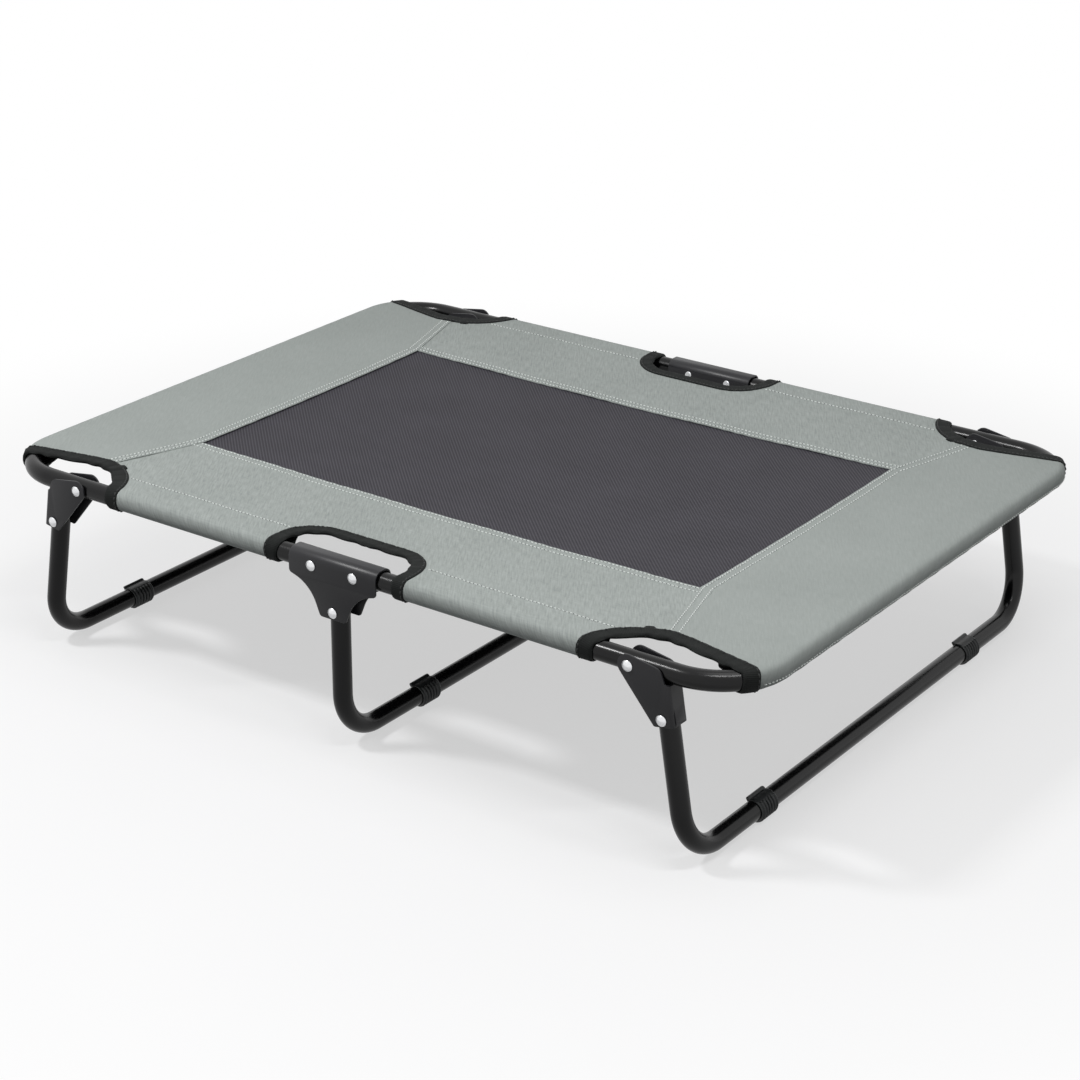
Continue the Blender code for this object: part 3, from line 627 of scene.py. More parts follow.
cornerBracket = makeCornerBracket()
hingeBracket = makeHingeBracket()
for face, turn in fronts.items():
    item = makePiece(face + "HingeBracket", *hingeBracket, "bracket", (1, turn), crease=32)
    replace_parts(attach(item, "middle"), face + "_hinge_bracket")
    for side, sign in sides.items():
        name = side + face.capitalize() + "LegBracket"
        item = makePiece(name, *cornerBracket, "bracket", (sign, turn), crease=32)
        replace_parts(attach(item, side + "_leg"), side + "_" + face + "_leg_bracket")
print("brackets made")


rivets = {
    "shank": 0.0025, "head": 0.0052, "dome": 0.0026, "rim": 0.0003, "gap": 0.0003, "sides": 32,
    "tail": 0.0042, "tailHeight": 0.0012, "tailRim": 0.0004, "tailSlope": 0.0006,
    "dimple": 0.0012, "dimpleDepth": 0.0005, "domeEnd": 0.05,      # the dome stops this turn above its rim
}


def makeRivet():
    # a domed head with a small rolled rim, a shank and a pressed tail
    size = rivets
    head, shank, tail = size["head"], size["shank"], size["tail"]
    under = brackets["outside"] + size["gap"]
    bottom = -under - size["tailHeight"]
    sphere = (head ** 2 + size["dome"] ** 2) / (2 * size["dome"])
    low = math.asin((sphere - size["dome"]) / sphere)
    dome = arc((0, under + size["dome"] - sphere), sphere, math.pi / 2, low + size["domeEnd"], 9)
    profile = [*dome, (head, under + size["rim"]), (head - size["rim"], under), (shank, under),
               (shank, -under), (tail, -under), (tail, -under - size["tailRim"]),
               (tail - size["tailSlope"], bottom), (size["dimple"], bottom),
               (0, bottom + size["dimpleDepth"])]
    turns = np.linspace(0, 2 * math.pi, size["sides"], endpoint=False)
    points = [(0, -profile[0][1], 0)]
    points += [(radius * math.cos(turn), -height, radius * math.sin(turn))
               for radius, height in profile[1:-1] for turn in turns]
    points.append((0, -profile[-1][1], 0))
    count, rings = len(turns), len(profile) - 2
    faces = bandFaces(rings, count, start=1)
    last = 1 + (rings - 1) * count
    for k in range(count):
        n = (k + 1) % count
        faces += [(0, 1 + k, 1 + n), (last + k, len(points) - 1, last + n)]
    return np.array(points), faces


rivetPoints, rivetFaces = makeRivet()
rivetSpots = {
    "hinge": (bed["hingeX"], bed["height"]), "upper": (bed["cornerX"], bed["height"]),
    "lower": (bed["legX"], bed["legHeight"]),
}


def placeRivet(name, node, spot, signs, body):
    points = rivetPoints + np.array((spot[0], -bed["halfWidth"], spot[1]))
    item = makePiece(name, points, rivetFaces, "rivet", signs, crease=38)
    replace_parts(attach(item, body), node)


for face, turn in fronts.items():
    placeRivet(face + "MiddleRivet", face + "_middle_leg_rivet", (0, bed["legHeight"]), (1, turn), "middle")
    for side, sign in sides.items():
        for kind, spot in rivetSpots.items():
            name = side + face.capitalize() + kind.capitalize() + "Rivet"
            body = "middle" if kind == "hinge" else side + "_leg"
            placeRivet(name, side + "_" + face + "_" + kind + "_rivet", spot, (sign, turn), body)
print("rivets made")


feet = {
    "length": 0.028, "fit": 0.0003, "wall": 0.0013, "rib": 0.0015, "ribs": 6, "ribWidth": 0.0021,
    "ribFrom": -120, "ribTo": 60, "ribFade": 0.12, "slotFrom": 125, "slotTo": 175,
    "lip": 0.0026, "lipLong": 0.30, "lipRise": 0.16, "edge": 0.0014, "edgeDrop": 0.0008,
    "turnStops": 97, "lengthStops": 113,
}


def makeFoot():
    # a rubber clip round the bar, with rounded ribs, a lip along its slot and a worn flat sole
    size = feet
    inner = bed["tubeRadius"] + size["fit"]
    end = math.radians(size["slotFrom"])
    low, high = math.radians(size["ribFrom"]), math.radians(size["ribTo"])
    turns = np.linspace(math.radians(size["slotTo"] - 360), end, size["turnStops"])
    half = size["length"] / 2
    pitch = (size["length"] - size["ribWidth"]) / size["ribs"]
    stops = np.linspace(-half, half, size["lengthStops"])

    def share(value):
        return min(1.0, max(0.0, value))

    def outside(angle, along):
        phase = (along / pitch) % 1.0 - 0.5
        swell = max(0.0, 1 - (phase * pitch / (size["ribWidth"] / 2)) ** 2) ** 0.5
        window = share(min(angle - low, high - angle) / size["ribFade"])
        lip = share((angle - (end - size["lipLong"])) / size["lipRise"])
        edge = share((half - abs(along)) / size["edge"])
        raised = size["rib"] * swell * window + size["lip"] * lip * lip * (3 - 2 * lip)
        return inner + size["wall"] + raised - size["edgeDrop"] * (1 - edge) ** 2

    points = []
    for along in stops:
        ring = [(outside(angle, along), angle) for angle in turns]
        ring += [(inner, angle) for angle in turns[::-1]]
        points += [(radius * math.cos(angle), along, max(radius * math.sin(angle), -bed["barHeight"]))
                   for radius, angle in ring]
    ring = 2 * len(turns)
    faces = bandFaces(len(stops), ring)
    for base, flip in ((0, False), ((len(stops) - 1) * ring, True)):
        for k in range(len(turns) - 1):
            quad = (base + k, base + k + 1, base + ring - 2 - k, base + ring - 1 - k)
            faces.append(quad if flip else quad[::-1])
    return np.array(points), faces


footPoints, footFaces = makeFoot()
for face, turn in fronts.items():
    points = footPoints + np.array((0, -turn * bed["footY"], bed["barHeight"]))
    item = makePiece(face + "MiddleFoot", points, footFaces, "rubber")
    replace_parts(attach(item, "middle"), face + "_middle_foot")
    for side, sign in sides.items():
        outward = np.array((sign * bed["footX"], 0, 0))
        item = makePiece(side + face.capitalize() + "Foot", points + outward, footFaces, "rubber")
        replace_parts(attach(item, side + "_leg"), side + "_" + face + "_foot")
print("feet made")


sling = {
    "wrap": 0.0104, "sag": 0.009, "seam": 0.027, "tail": 0.010,
    "meshX": 0.303, "meshY": 0.179, "spread": 0.028, "spreadY": 0.276, "under": 0.013,
    "cloth": 0.0008, "net": 0.0007, "layerGap": 0.0009, "rowGap": 0.0013, "bendLong": 0.050,
}
# how finely the cloth is divided
spacing = {
    "flat": 0.009, "flatGap": 0.004, "rows": 0.0027, "along": 0.0065, "bend": 4.0,
    "edge": 0.003, "edgeGap": 0.0016, "net": 0.006,
}
rise = math.atan2(sling["wrap"], sling["seam"])
wrapTurn = math.radians(360) - 2 * (math.pi / 2 - rise)
wrapLong = sling["wrap"] * wrapTurn
runLong = sling["seam"] - sling["rowGap"]
outMost = wrapLong + runLong + sling["tail"]


def fromTube(plan):
    # how far a plan point is outside the tube's centreline, which way outside is, and if it is at a bend
    plan = np.atleast_2d(np.asarray(plan, float))
    sign = np.where(plan < 0, -1.0, 1.0)
    q = np.abs(plan) - bendCentre
    corner = (q[:, 0] > 0) & (q[:, 1] > 0)
    reach = np.hypot(q[:, 0], q[:, 1])
    away = np.where(corner, reach, np.maximum(q[:, 0], q[:, 1])) - bed["bend"]
    safe = np.where(reach > 1e-9, reach, 1.0)
    alongX = q[:, 0] >= q[:, 1]
    normal = np.where(corner[:, None], q / safe[:, None],
                      np.stack((alongX.astype(float), (~alongX).astype(float)), 1))
    return away, normal * sign, corner


def sagAt(plan):
    along = plan[:, 0] / (bed["halfLength"] - sling["seam"])
    across = plan[:, 1] / (bed["halfWidth"] - sling["seam"])
    return sling["sag"] * np.maximum(0, 1 - along ** 2) * np.maximum(0, 1 - across ** 2)


def drape(plan, lift):
    # lays plan points on the sling, each the given lift off the cloth's middle
    plan = np.atleast_2d(np.asarray(plan, float))
    lift = np.broadcast_to(np.asarray(lift, float), (len(plan),))
    away, normal, _ = fromTube(plan)
    past = np.maximum(away, 0)
    foot = plan - normal * past[:, None]
    turn = np.clip(past / sling["wrap"], 0, wrapTurn)
    radius = sling["wrap"] + lift
    out = radius * np.sin(turn)
    up = radius * np.cos(turn)
    run = np.clip(past - wrapLong, 0, runLong)
    tail = np.maximum(past - wrapLong - runLong, 0)
    out = out + run * math.cos(wrapTurn) - tail
    up = up - run * math.sin(wrapTurn)
    tailUp = sling["wrap"] - sling["layerGap"] - lift
    up = np.where(tail > 0, np.minimum(up, tailUp), up)
    z = bed["height"] + up - np.where(past > 0, 0, sagAt(plan))
    xy = foot + normal * out[:, None]
    return np.column_stack((xy, z))


def resample(path, step):
    # even points along a path, keeping its corners
    path = np.asarray(path, float)
    points = [path[0]]
    for start, end in zip(path, path[1:]):
        count = max(1, int(math.ceil(np.linalg.norm(end - start) / step - 1e-6)))
        for k in range(1, count + 1):
            points.append(start + (end - start) * k / count)
    return np.array(points)


def lengths(path):
    # how far along the path each of its points lies
    return np.concatenate(([0], np.cumsum(np.linalg.norm(np.diff(path, axis=0), axis=1))))


def insidePolygon(points, polygon):
    x, y = points[:, 0][:, None], points[:, 1][:, None]
    ax, ay = polygon[:, 0][None], polygon[:, 1][None]
    bx, by = np.roll(polygon[:, 0], -1)[None], np.roll(polygon[:, 1], -1)[None]
    crosses = (ay > y) != (by > y)
    with np.errstate(divide="ignore", invalid="ignore"):
        at = ax + (y - ay) * (bx - ax) / (by - ay)
    return (np.sum(crosses & (x < at), axis=1) % 2) == 1


def fillPoints(outline, rowStops):
    # a square grid where the cloth is flat, and rows along the tube where it wraps
    low, high = outline.min(0), outline.max(0)
    pitch, along = spacing["flat"], spacing["along"]
    grid = np.array([(x, y) for x in np.arange(low[0] + pitch / 2, high[0], pitch)
                     for y in np.arange(low[1] + pitch / 2, high[1], pitch)])
    points = [grid[fromTube(grid)[0] < -spacing["flatGap"]]]
    straightX, straightY = [np.arange(-reach, reach + 1e-6, along) for reach in bendCentre]
    bends = np.radians(np.arange(spacing["bend"], 90 - spacing["bend"] / 2, spacing["bend"]))
    for stop in rowStops:
        for s in (-1, 1):
            points.append(np.array([(s * (bed["halfLength"] + stop), y) for y in straightY]))
            points.append(np.array([(x, s * (bed["halfWidth"] + stop)) for x in straightX]))
        ring = arc(bendCentre, bed["bend"] + stop, bends[0], bends[-1], len(bends) - 1)
        points += [ring * np.array((sx, sy)) for sx in (-1, 1) for sy in (-1, 1)]
    points = np.vstack(points)
    points = points[insidePolygon(points, outline)]
    near = np.full(len(points), 1e9)
    for spot in outline:
        near = np.minimum(near, np.hypot(points[:, 0] - spot[0], points[:, 1] - spot[1]))
    return points[near > spacing["edgeGap"]]


def cutCloth(outline, liftAt, thick, rowStops):
    # cuts the outline in plan, drapes both faces of the cloth and closes its edges
    everything = [Vector(point) for point in np.vstack((outline, fillPoints(outline, rowStops)))]
    plan, _, faces, _, _, _ = delaunay_2d_cdt(everything, [], [list(range(len(outline)))], 1, 1e-6)
    plan = np.array([tuple(point) for point in plan])
    keep = insidePolygon(np.array([plan[list(face)].mean(0) for face in faces]), outline)
    turned, area = [], 0.0
    for face, kept in zip(faces, keep):
        if kept:
            a, b, c = plan[list(face)]
            twice = (b[0] - a[0]) * (c[1] - a[1]) - (b[1] - a[1]) * (c[0] - a[0])
            turned.append(tuple(face) if twice > 0 else tuple(face[::-1]))
            area += abs(twice) / 2
    count = len(plan)
    lift = liftAt(plan)
    points = np.vstack((drape(plan, lift + thick / 2), drape(plan, lift - thick / 2)))
    edges = dict.fromkeys(pair for face in turned for pair in zip(face, face[1:] + face[:1]))
    allFaces = turned + [tuple(i + count for i in face[::-1]) for face in turned]
    allFaces += [(b, a, a + count, b + count) for a, b in edges if (b, a) not in edges]
    return points, allFaces, np.vstack((plan, plan)), area


# the cut-outs' outlines, in the quarter where x and y are positive
cuts = {
    "hingeHalf": 0.070, "hingeDepth": 0.040, "hingeCorner": 0.031,
    "cornerX": 0.289, "cornerDepth": 0.0359, "cornerTurn": 0.056, "tipTurn": 0.006, "underTurn": 0.02,
    "edgeBand": 0.012, "openBy": 0.003,
    "slope": 12, "angle": 40, "lowerAngle": 58,      # the sleeve's lower layer reaches further round
}


def cornerOutline():
    # from outside the long tube, round the cut-out, to outside the bend
    size = cuts
    x, y = size["cornerX"], bed["halfWidth"] - size["cornerDepth"]
    angle, slope = math.radians(size["angle"]), math.radians(size["slope"])
    radial = Vector((math.cos(angle), math.sin(angle)))
    slant = Vector((math.cos(slope), math.sin(slope)))
    offset = Vector((x + size["cornerTurn"], y)) - Vector(bendCentre)
    meet = Vector(bendCentre) + radial * (slant.cross(offset) / slant.cross(radial))
    begin = (x, meet.y - (meet.x - x) * math.tan(slope))
    under = Vector(bendCentre) + radial * (bed["bend"] + wrapLong * 0.75)
    lower = math.radians(size["lowerAngle"])
    end = Vector(bendCentre) + Vector((math.cos(lower), math.sin(lower))) * (bed["bend"] + outMost)
    corners = [(x, bed["halfWidth"] + outMost, 0), (*begin, size["cornerTurn"]), (*meet, size["tipTurn"]),
               (*under, size["underTurn"]), (*end, 0)]
    return resample(rounded(corners, 14, closed=False), spacing["rows"])


def hingeOutline():
    # from the middle of the opening's inner edge to outside the long tube
    size = cuts
    x, y = size["hingeHalf"], bed["halfWidth"] - size["hingeDepth"]
    corners = [(0, y, 0), (x, y, size["hingeCorner"]), (x, bed["halfWidth"] + outMost, 0)]
    return resample(rounded(corners, 16, closed=False), spacing["rows"])


cornerPath = cornerOutline()
hingePath = hingeOutline()
seamX, seamY = sling["meshX"], sling["meshY"]
spreadX, spreadY = seamX + sling["spread"], sling["spreadY"]


def crossing(path, x):
    # the index on the slanted edge nearest a given x
    inner = path[:, 1] < bed["halfWidth"] - cuts["edgeBand"]
    return int(np.argmin(np.where(inner, np.abs(path[:, 0] - x), 9.0)))


def endPanelOutline():
    meet = crossing(cornerPath, spreadX + cuts["openBy"])
    quarter = np.vstack(([(seamX, seamY)], [(spreadX, spreadY)], cornerPath[meet:]))
    outer = bed["bend"] + outMost
    bendArc = arc(bendCentre, outer, math.radians(cuts["lowerAngle"]), 0, 60)[1:]
    upper = resample(np.vstack((quarter, bendArc)), spacing["edge"])
    lower = upper[::-1] * np.array((1, -1))
    closing = resample(np.array((upper[-1], lower[0])), spacing["along"])[1:-1]
    back = resample(np.array((lower[-1], upper[0])), spacing["edge"])[1:-1]
    return np.vstack((upper, closing, lower, back))


def sidePanelOutline():
    meet = crossing(cornerPath, spreadX + sling["under"])
    over = sling["under"]
    start = [(0, seamY), (seamX + over, seamY), (spreadX + over, spreadY)]
    corner = cornerPath[:meet + 1][::-1]
    hinge = hingePath[::-1]
    edge = resample(np.vstack((start, corner)), spacing["edge"])
    across = resample(np.array((edge[-1], hinge[0])), spacing["along"])[1:-1]
    closing = resample(np.array((hinge[-1], edge[0])), spacing["along"])[1:-1]
    return np.vstack((edge, across, hinge, closing))


# how the cloth stands up off the plain drape: layers at seams and hem, gathers and slack waves
folds = {
    "hemTurn": 118, "hemProud": 0.0007, "hemReach": 0.016, "hemPucker": 0.0003, "hemPitch": 0.017,
    "endSeam": 0.00085, "endReach": 0.022, "endPitch": 0.021, "pucker": 0.00022,
    "sideSeam": 0.00045, "sideReach": 0.020, "sidePitch": 0.018, "rowPucker": 0.00018, "rowPitch": 0.015,
    "endSquare": 0.0013, "sideSquare": 0.0008, "under": 0.0001, "netDown": 0.0009,
    "endWave": 0.00035, "sideWave": 0.0003, "waveFade": 0.03, "gatherReach": 0.012, "hemCrease": 0.00015,
    "flatFrom": 0.002, "sleeveFrom": 0.004,      # inwards and outwards from the tube's centreline
}


def seamDistance(plan):
    # how far beyond the end panel's seam a point lies
    x, y = plan[:, 0], np.abs(plan[:, 1])
    slant = np.array((spreadX - seamX, spreadY - seamY))
    slant /= np.linalg.norm(slant)
    beyond = (x - seamX) * slant[1] - (y - seamY) * slant[0]
    return np.where(y > seamY, beyond, x - seamX)


def easeOut(distance, reach):
    # falls from 1 to 0 over the reach
    t = np.clip(distance / reach, 0, 1)
    return 1 - t * t * (3 - 2 * t)


def pucker(plan, distance, pitch, size):
    # small gathers where a seam draws the cloth in
    x, y = plan[:, 0], plan[:, 1]
    wave = np.sin(2 * math.pi * (x + y * 0.6) / pitch + 1.7 * np.sin(31 * x + 17 * y))
    wave = wave * (0.6 + 0.4 * np.sin(2 * math.pi * (x - y) / (pitch * 3.7) + 0.8))
    return size * wave * np.exp(-np.abs(distance) / folds["gatherReach"])


hemAt = sling["wrap"] * math.radians(folds["hemTurn"])


def squareEdge(away, size):
    # the seam allowance inside the sleeve fills out its upper, outer edge
    return size * np.sin(2 * np.clip(away / sling["wrap"], 0, math.pi / 2)) ** 2


def endLift(plan):
    size, away, seam = folds, fromTube(plan)[0], seamDistance(plan)
    lift = size["endSeam"] * easeOut(seam, size["endReach"]) + squareEdge(away, size["endSquare"])
    hemLayers = size["hemProud"] * easeOut(hemAt - away, size["hemReach"])
    lift = lift + np.where(away < hemAt, hemLayers, -size["under"])
    lift = lift + pucker(plan, seam, size["endPitch"], size["pucker"]) * (away < -size["flatFrom"])
    gathers = pucker(plan, away - hemAt, size["hemPitch"], size["hemPucker"])
    lift = lift + gathers * (away > size["sleeveFrom"])
    waves = size["endWave"] * np.sin(plan[:, 1] * 44 + 0.7) * np.sin(plan[:, 0] * 61 + 0.3)
    return lift + waves * np.clip(-away / size["waveFade"], 0, 1)


def sideLift(plan):
    size, away, fromMesh = folds, fromTube(plan)[0], np.abs(plan[:, 1]) - seamY
    lift = size["sideSeam"] * easeOut(fromMesh, size["sideReach"]) + squareEdge(away, size["sideSquare"])
    lift = lift + pucker(plan, fromMesh, size["sidePitch"], size["pucker"])
    gathers = pucker(plan, away + sling["seam"], size["rowPitch"], size["rowPucker"])
    lift = lift + gathers * (away < -size["flatFrom"])
    waves = size["sideWave"] * np.sin(plan[:, 0] * 47 + 1.1) * np.sin(plan[:, 1] * 58 + 0.5)
    return lift + waves * np.clip(-away / size["waveFade"], 0, 1)


def netLift(plan):
    return np.full(len(plan), -folds["netDown"])


tubeRows = np.arange(0, outMost, spacing["rows"])
hemEdge = [hemAt - folds["hemCrease"], hemAt + folds["hemCrease"]]      # two close rows keep the hem crisp
hemRows = np.sort(np.concatenate((tubeRows, hemEdge)))
hemRows = hemRows[np.concatenate(([True], np.diff(hemRows) > 0.0002))]
endPanel = cutCloth(endPanelOutline(), endLift, sling["cloth"], hemRows)
sidePanel = cutCloth(sidePanelOutline(), sideLift, sling["cloth"], tubeRows)
netReach, netWide = seamX + sling["under"], seamY + sling["under"]
netLoop = [(0, -netWide), (netReach, -netWide), (netReach, netWide), (0, netWide), (0, -netWide)]
net = cutCloth(resample(netLoop, spacing["net"])[:-1], netLift, sling["net"], tubeRows)


def bendWith(item):
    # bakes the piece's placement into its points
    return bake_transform(item)


def declare(cloth):
    plan, area = cloth[2], cloth[3]
    wide, long = plan.max(0) - plan.min(0)
    float(min(area, wide * long))


for side, sign in sides.items():
    item = makePiece(side + "EndPanel", *endPanel[:2], "end", (sign, 1), endPanel[2])
    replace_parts(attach(item, side + "_half"), side + "_end_panel")
    declare(endPanel)
    item = makePiece(side + "Mesh", *net[:2], "mesh", (sign, 1), net[2])
    nodes = [side + "_mesh_panel"] + (["middle_mesh_panel"] if side == "right" else [])
    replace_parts(bendWith(item), *nodes)
    declare(net)
    for face, turn in fronts.items():
        name, both = side + face.capitalize() + "SidePanel", (sign, -turn)
        item = makePiece(name, *sidePanel[:2], "side", both, sidePanel[2])
        nodes = [side + "_" + face + "_side_panel"] + ([face + "_middle_strip"] if side == "right" else [])
        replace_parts(bendWith(item), *nodes)
        declare(sidePanel)
print("sling cut and draped")


tape = {
    "width": 0.015, "hingeWidth": 0.0135, "outer": 0.0014, "inner": 0.0008, "edge": 0.0003, "soft": 0.0012,
    "underShort": 0.002, "doubled": 2.2, "doubledFade": 0.012, "scallop": 0.0018, "scallopPitch": 0.024,
    "wobbles": ((0.00018, 420, 0), (0.00012, 910, 1)),       # each wave's height, rate and shift
    "knob": 0.0048, "knobReach": 0.0026, "knobProud": 0.0008, "knobAt": 0.0095,      # over the seam's end
    "endBack": 0.006,        # the end panel's corner lies up to this far back from its seam's line
}


def clothUnder(plan):
    # how far the cloth under the tape stands up
    beyond = seamDistance(plan)
    end = np.where(beyond > -tape["endBack"], endLift(plan), 0)
    return np.maximum(np.maximum(end, np.where(beyond > 0, 0, sideLift(plan))), 0)


def tapeStretch(plan):
    # keeps the tape's width where it turns under the bend
    away, _, corner = fromTube(plan)
    past = np.maximum(away, 0)
    turn = np.clip(past / sling["wrap"], 0, wrapTurn)
    out = sling["wrap"] * np.sin(turn) + np.clip(past - wrapLong, 0, None) * math.cos(wrapTurn)
    real = np.maximum(bed["bend"] + out, 0.02)
    return np.where(corner & (away > 0), (bed["bend"] + past) / real, 1.0)


def tapeSection(width):
    # the folded tape's reach and lift, from its edge on top over the cloth's edge to its edge below
    outer, inner, edge, soft = [tape[name] for name in ("outer", "inner", "edge", "soft")]
    end = width - tape["underShort"]
    top = [(width, edge), (width - edge, outer * 0.8), (width - soft, outer)]
    top += [(width * share, outer) for share in (0.75, 0.5, 0.25)] + [(soft, outer)]
    fold = [(0.0002, outer * 0.8), (-0.0006, outer * 0.3), (-0.0007, -inner * 0.2), (-0.0003, -inner * 0.7)]
    below = [(0.0008, -inner), (width * 0.3, -inner), (width * 0.6, -inner), (end - 0.0005, -inner)]
    return top + fold + below + [(end, -0.0002)]


def makeTapeBand(path, width, bumpAt=None, capStart=True):
    # lays the tape's section along a plan path, raised by the cloth that it covers
    size, outer, section = tape, tape["outer"], tapeSection(width)
    tangent = np.gradient(path, axis=0)
    tangent /= np.linalg.norm(tangent, axis=1)[:, None]
    grow = np.stack((tangent[:, 1], -tangent[:, 0]), 1)
    if not capStart:
        grow[0] = (0, -1)
    along, stretch = lengths(path), tapeStretch(path)
    wave = np.sin(2 * math.pi * along / size["scallopPitch"] + 1.3 * np.sin(along * 90))
    scallop = size["scallop"] * (0.5 + 0.5 * wave)
    bump = np.zeros(len(path))
    if bumpAt is not None:
        bump = np.clip(1 - (np.abs(along - bumpAt) / size["knob"]) ** 6, 0, 1)
    # two layers of cloth away from the tube
    doubled = 1 + size["doubled"] * np.clip(-fromTube(path)[0] / size["doubledFade"], 0, 1)
    wobble = sum(high * np.sin(along * rate + shift) for high, rate, shift in size["wobbles"])
    points, plans = [], []
    perimeter, last = 0.0, section[0]
    for inward, lift in section:
        perimeter += math.hypot(inward - last[0], lift - last[1])
        last = (inward, lift)
        reach = np.full(len(path), inward)
        if inward > width * 0.9 and lift > 0:      # the top's edge, pushed out at the knob
            reach = reach + bump * size["knobReach"]
        if inward < 0.001 and lift < outer * 0.5:      # the folded edge, drawn in by its scallops
            reach = reach - scallop * (1 if lift < 0 else 0.4)
        spot = path + grow * (reach * stretch)[:, None]
        raised = lift + clothUnder(spot) if lift > 0 else lift * doubled
        if lift > outer * 0.5:
            raised = raised + bump * size["knobProud"] + wobble
        points.append(drape(spot, raised))
        plans.append(np.column_stack((along, np.full(len(path), perimeter))))
    rows, count = len(section), len(path)
    faces = bandFaces(rows, count, joinRows=True, joinEnds=False, flip=True)
    faces.append(tuple(row * count + count - 1 for row in reversed(range(rows))))
    if capStart:
        faces.append(tuple(row * count for row in range(rows)))
    return np.vstack(points), faces, np.vstack(plans), grow


seamMeets = crossing(cornerPath, spreadX - tape["knobAt"])
cornerTape = makeTapeBand(cornerPath, tape["width"], bumpAt=lengths(cornerPath)[seamMeets])
hingeTape = makeTapeBand(hingePath, tape["hingeWidth"], capStart=False)
for side, sign in sides.items():
    for face, turn in fronts.items():
        corner, node, both = side + face.capitalize(), side + "_" + face, (sign, -turn)
        item = makePiece(corner + "CornerTape", *cornerTape[:2], "tape", both, cornerTape[2], crease=50)
        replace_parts(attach(item, side + "_half"), node + "_corner_binding")
        nodes = [node + "_hinge_binding"] + ([face + "_middle_binding"] if side == "right" else [])
        item = makePiece(corner + "HingeTape", *hingeTape[:2], "tape", both, hingeTape[2], crease=50)
        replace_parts(bendWith(item), *nodes)
print("binding tape sewn on")


stitches = {
    "pitch": 0.0044, "long": 0.0035, "thick": 0.00065,       # the threads that show
    "paintedShadeLong": 0.0012, "paintedShadeThick": 0.00040, "sides": 6,    # painted shade: short dark threads between two of them stand in for the shade where the thread dives into the cloth
    "seamInsets": (0.0028, 0.0105), "tapeInset": 0.0022, "hemInset": 0.0028, "tapeSink": 0.0001, "step": 0.01,
    "fromTape": 0.001, "seamEnd": 0.0015, "seamPast": 0.002, "rowStart": 0.0125, "hemShort": 0.24,
}
# a thread's length share, width share and height, from end to end
threadShape = ((-0.5, 0.25, -0.9), (-0.36, 0.8, 0.0), (-0.15, 1.0, 0.6), (0.15, 1.0, 0.6), (0.36, 0.8, 0.0),
               (0.5, 0.25, -0.9))
rowNames = ("end", "endPaintedShade", "side", "sidePaintedShade", "corner", "hinge")
rows = {name: {"points": [], "faces": []} for name in rowNames}


def layThreads(path, lift, row, start, long, thick):
    # evenly spaced threads along a plan path, each diving into the cloth at its ends
    along, store = lengths(path), rows[row]
    centres = np.arange(start, along[-1] - stitches["pitch"] / 2, stitches["pitch"])
    if len(centres) == 0:
        return

    def at(stops):
        return np.column_stack([np.interp(stops, along, path[:, k]) for k in (0, 1)])

    spots = at(centres)
    tangent = at(centres + 0.0008) - at(centres - 0.0008)
    tangent /= np.linalg.norm(tangent, axis=1)[:, None]
    across = np.stack((-tangent[:, 1], tangent[:, 0]), 1)
    count, rings = stitches["sides"], len(threadShape)
    turns = np.linspace(0, 2 * math.pi, count, endpoint=False)
    local = np.array([
        (where * long, thick * wide * math.cos(turn), thick * (up + 0.8 * wide * math.sin(turn)))
        for where, wide, up in threadShape for turn in turns])
    plan = spots[:, None] + tangent[:, None] * local[None, :, :1] + across[:, None] * local[None, :, 1:2]
    heights = lift(spots)[:, None] + local[None, :, 2]
    faces = bandFaces(rings, count)
    faces += [tuple(range(count)), tuple(reversed(range((rings - 1) * count, rings * count)))]
    base = sum(len(points) for points in store["points"])
    for index in range(len(spots)):
        offset = base + index * rings * count
        store["faces"].extend(tuple(offset + i for i in face) for face in faces)
    store["points"].append(drape(plan.reshape(-1, 2), heights.reshape(-1)))


def stitchRow(path, lift, row):
    path, size = np.asarray(path, float), stitches
    layThreads(path, lift, row, size["pitch"] / 2, size["long"], size["thick"])
    # short dark threads between the stitches: painted shade where the thread dives into the cloth
    if row + "PaintedShade" in rows:
        layThreads(path, lift, row + "PaintedShade", size["pitch"], size["paintedShadeLong"], size["paintedShadeThick"])


def tapeRow(path, grow, distance):
    # a line beside a tape's path, measured on the cloth
    return path + grow * (distance * tapeStretch(path))[:, None]


def onEnd(plan):
    return endLift(plan) + sling["cloth"] / 2


def onSide(plan):
    return sideLift(plan) + sling["cloth"] / 2


def onTape(plan):
    return tape["outer"] - stitches["tapeSink"] + clothUnder(plan)


def sewSeams():
    # two rows beside the mesh and up the slanted seams to the corner tape
    slant = np.array((spreadX - seamX, spreadY - seamY))
    slant /= np.linalg.norm(slant)
    top = cornerPath[seamMeets, 1] - tape["width"] - stitches["seamEnd"]
    for inset in stitches["seamInsets"]:
        x, across = seamX + inset, seamY + inset
        beside = np.array((seamX + slant[1] * inset, seamY - slant[0] * inset))
        knee = np.array((x, beside[1] + slant[1] * (x - beside[0]) / slant[0]))
        tip = knee + slant * ((top - knee[1]) / slant[1])
        stitchRow(((x, -knee[1]), (x, knee[1])), onEnd, "end")
        for up in (1, -1):
            stitchRow(resample(np.array((knee, tip)) * (1, up), stitches["step"]), onEnd, "end")
        stitchRow(((0, across), (seamX + stitches["seamPast"] + inset * 0.3, across)), onSide, "side")


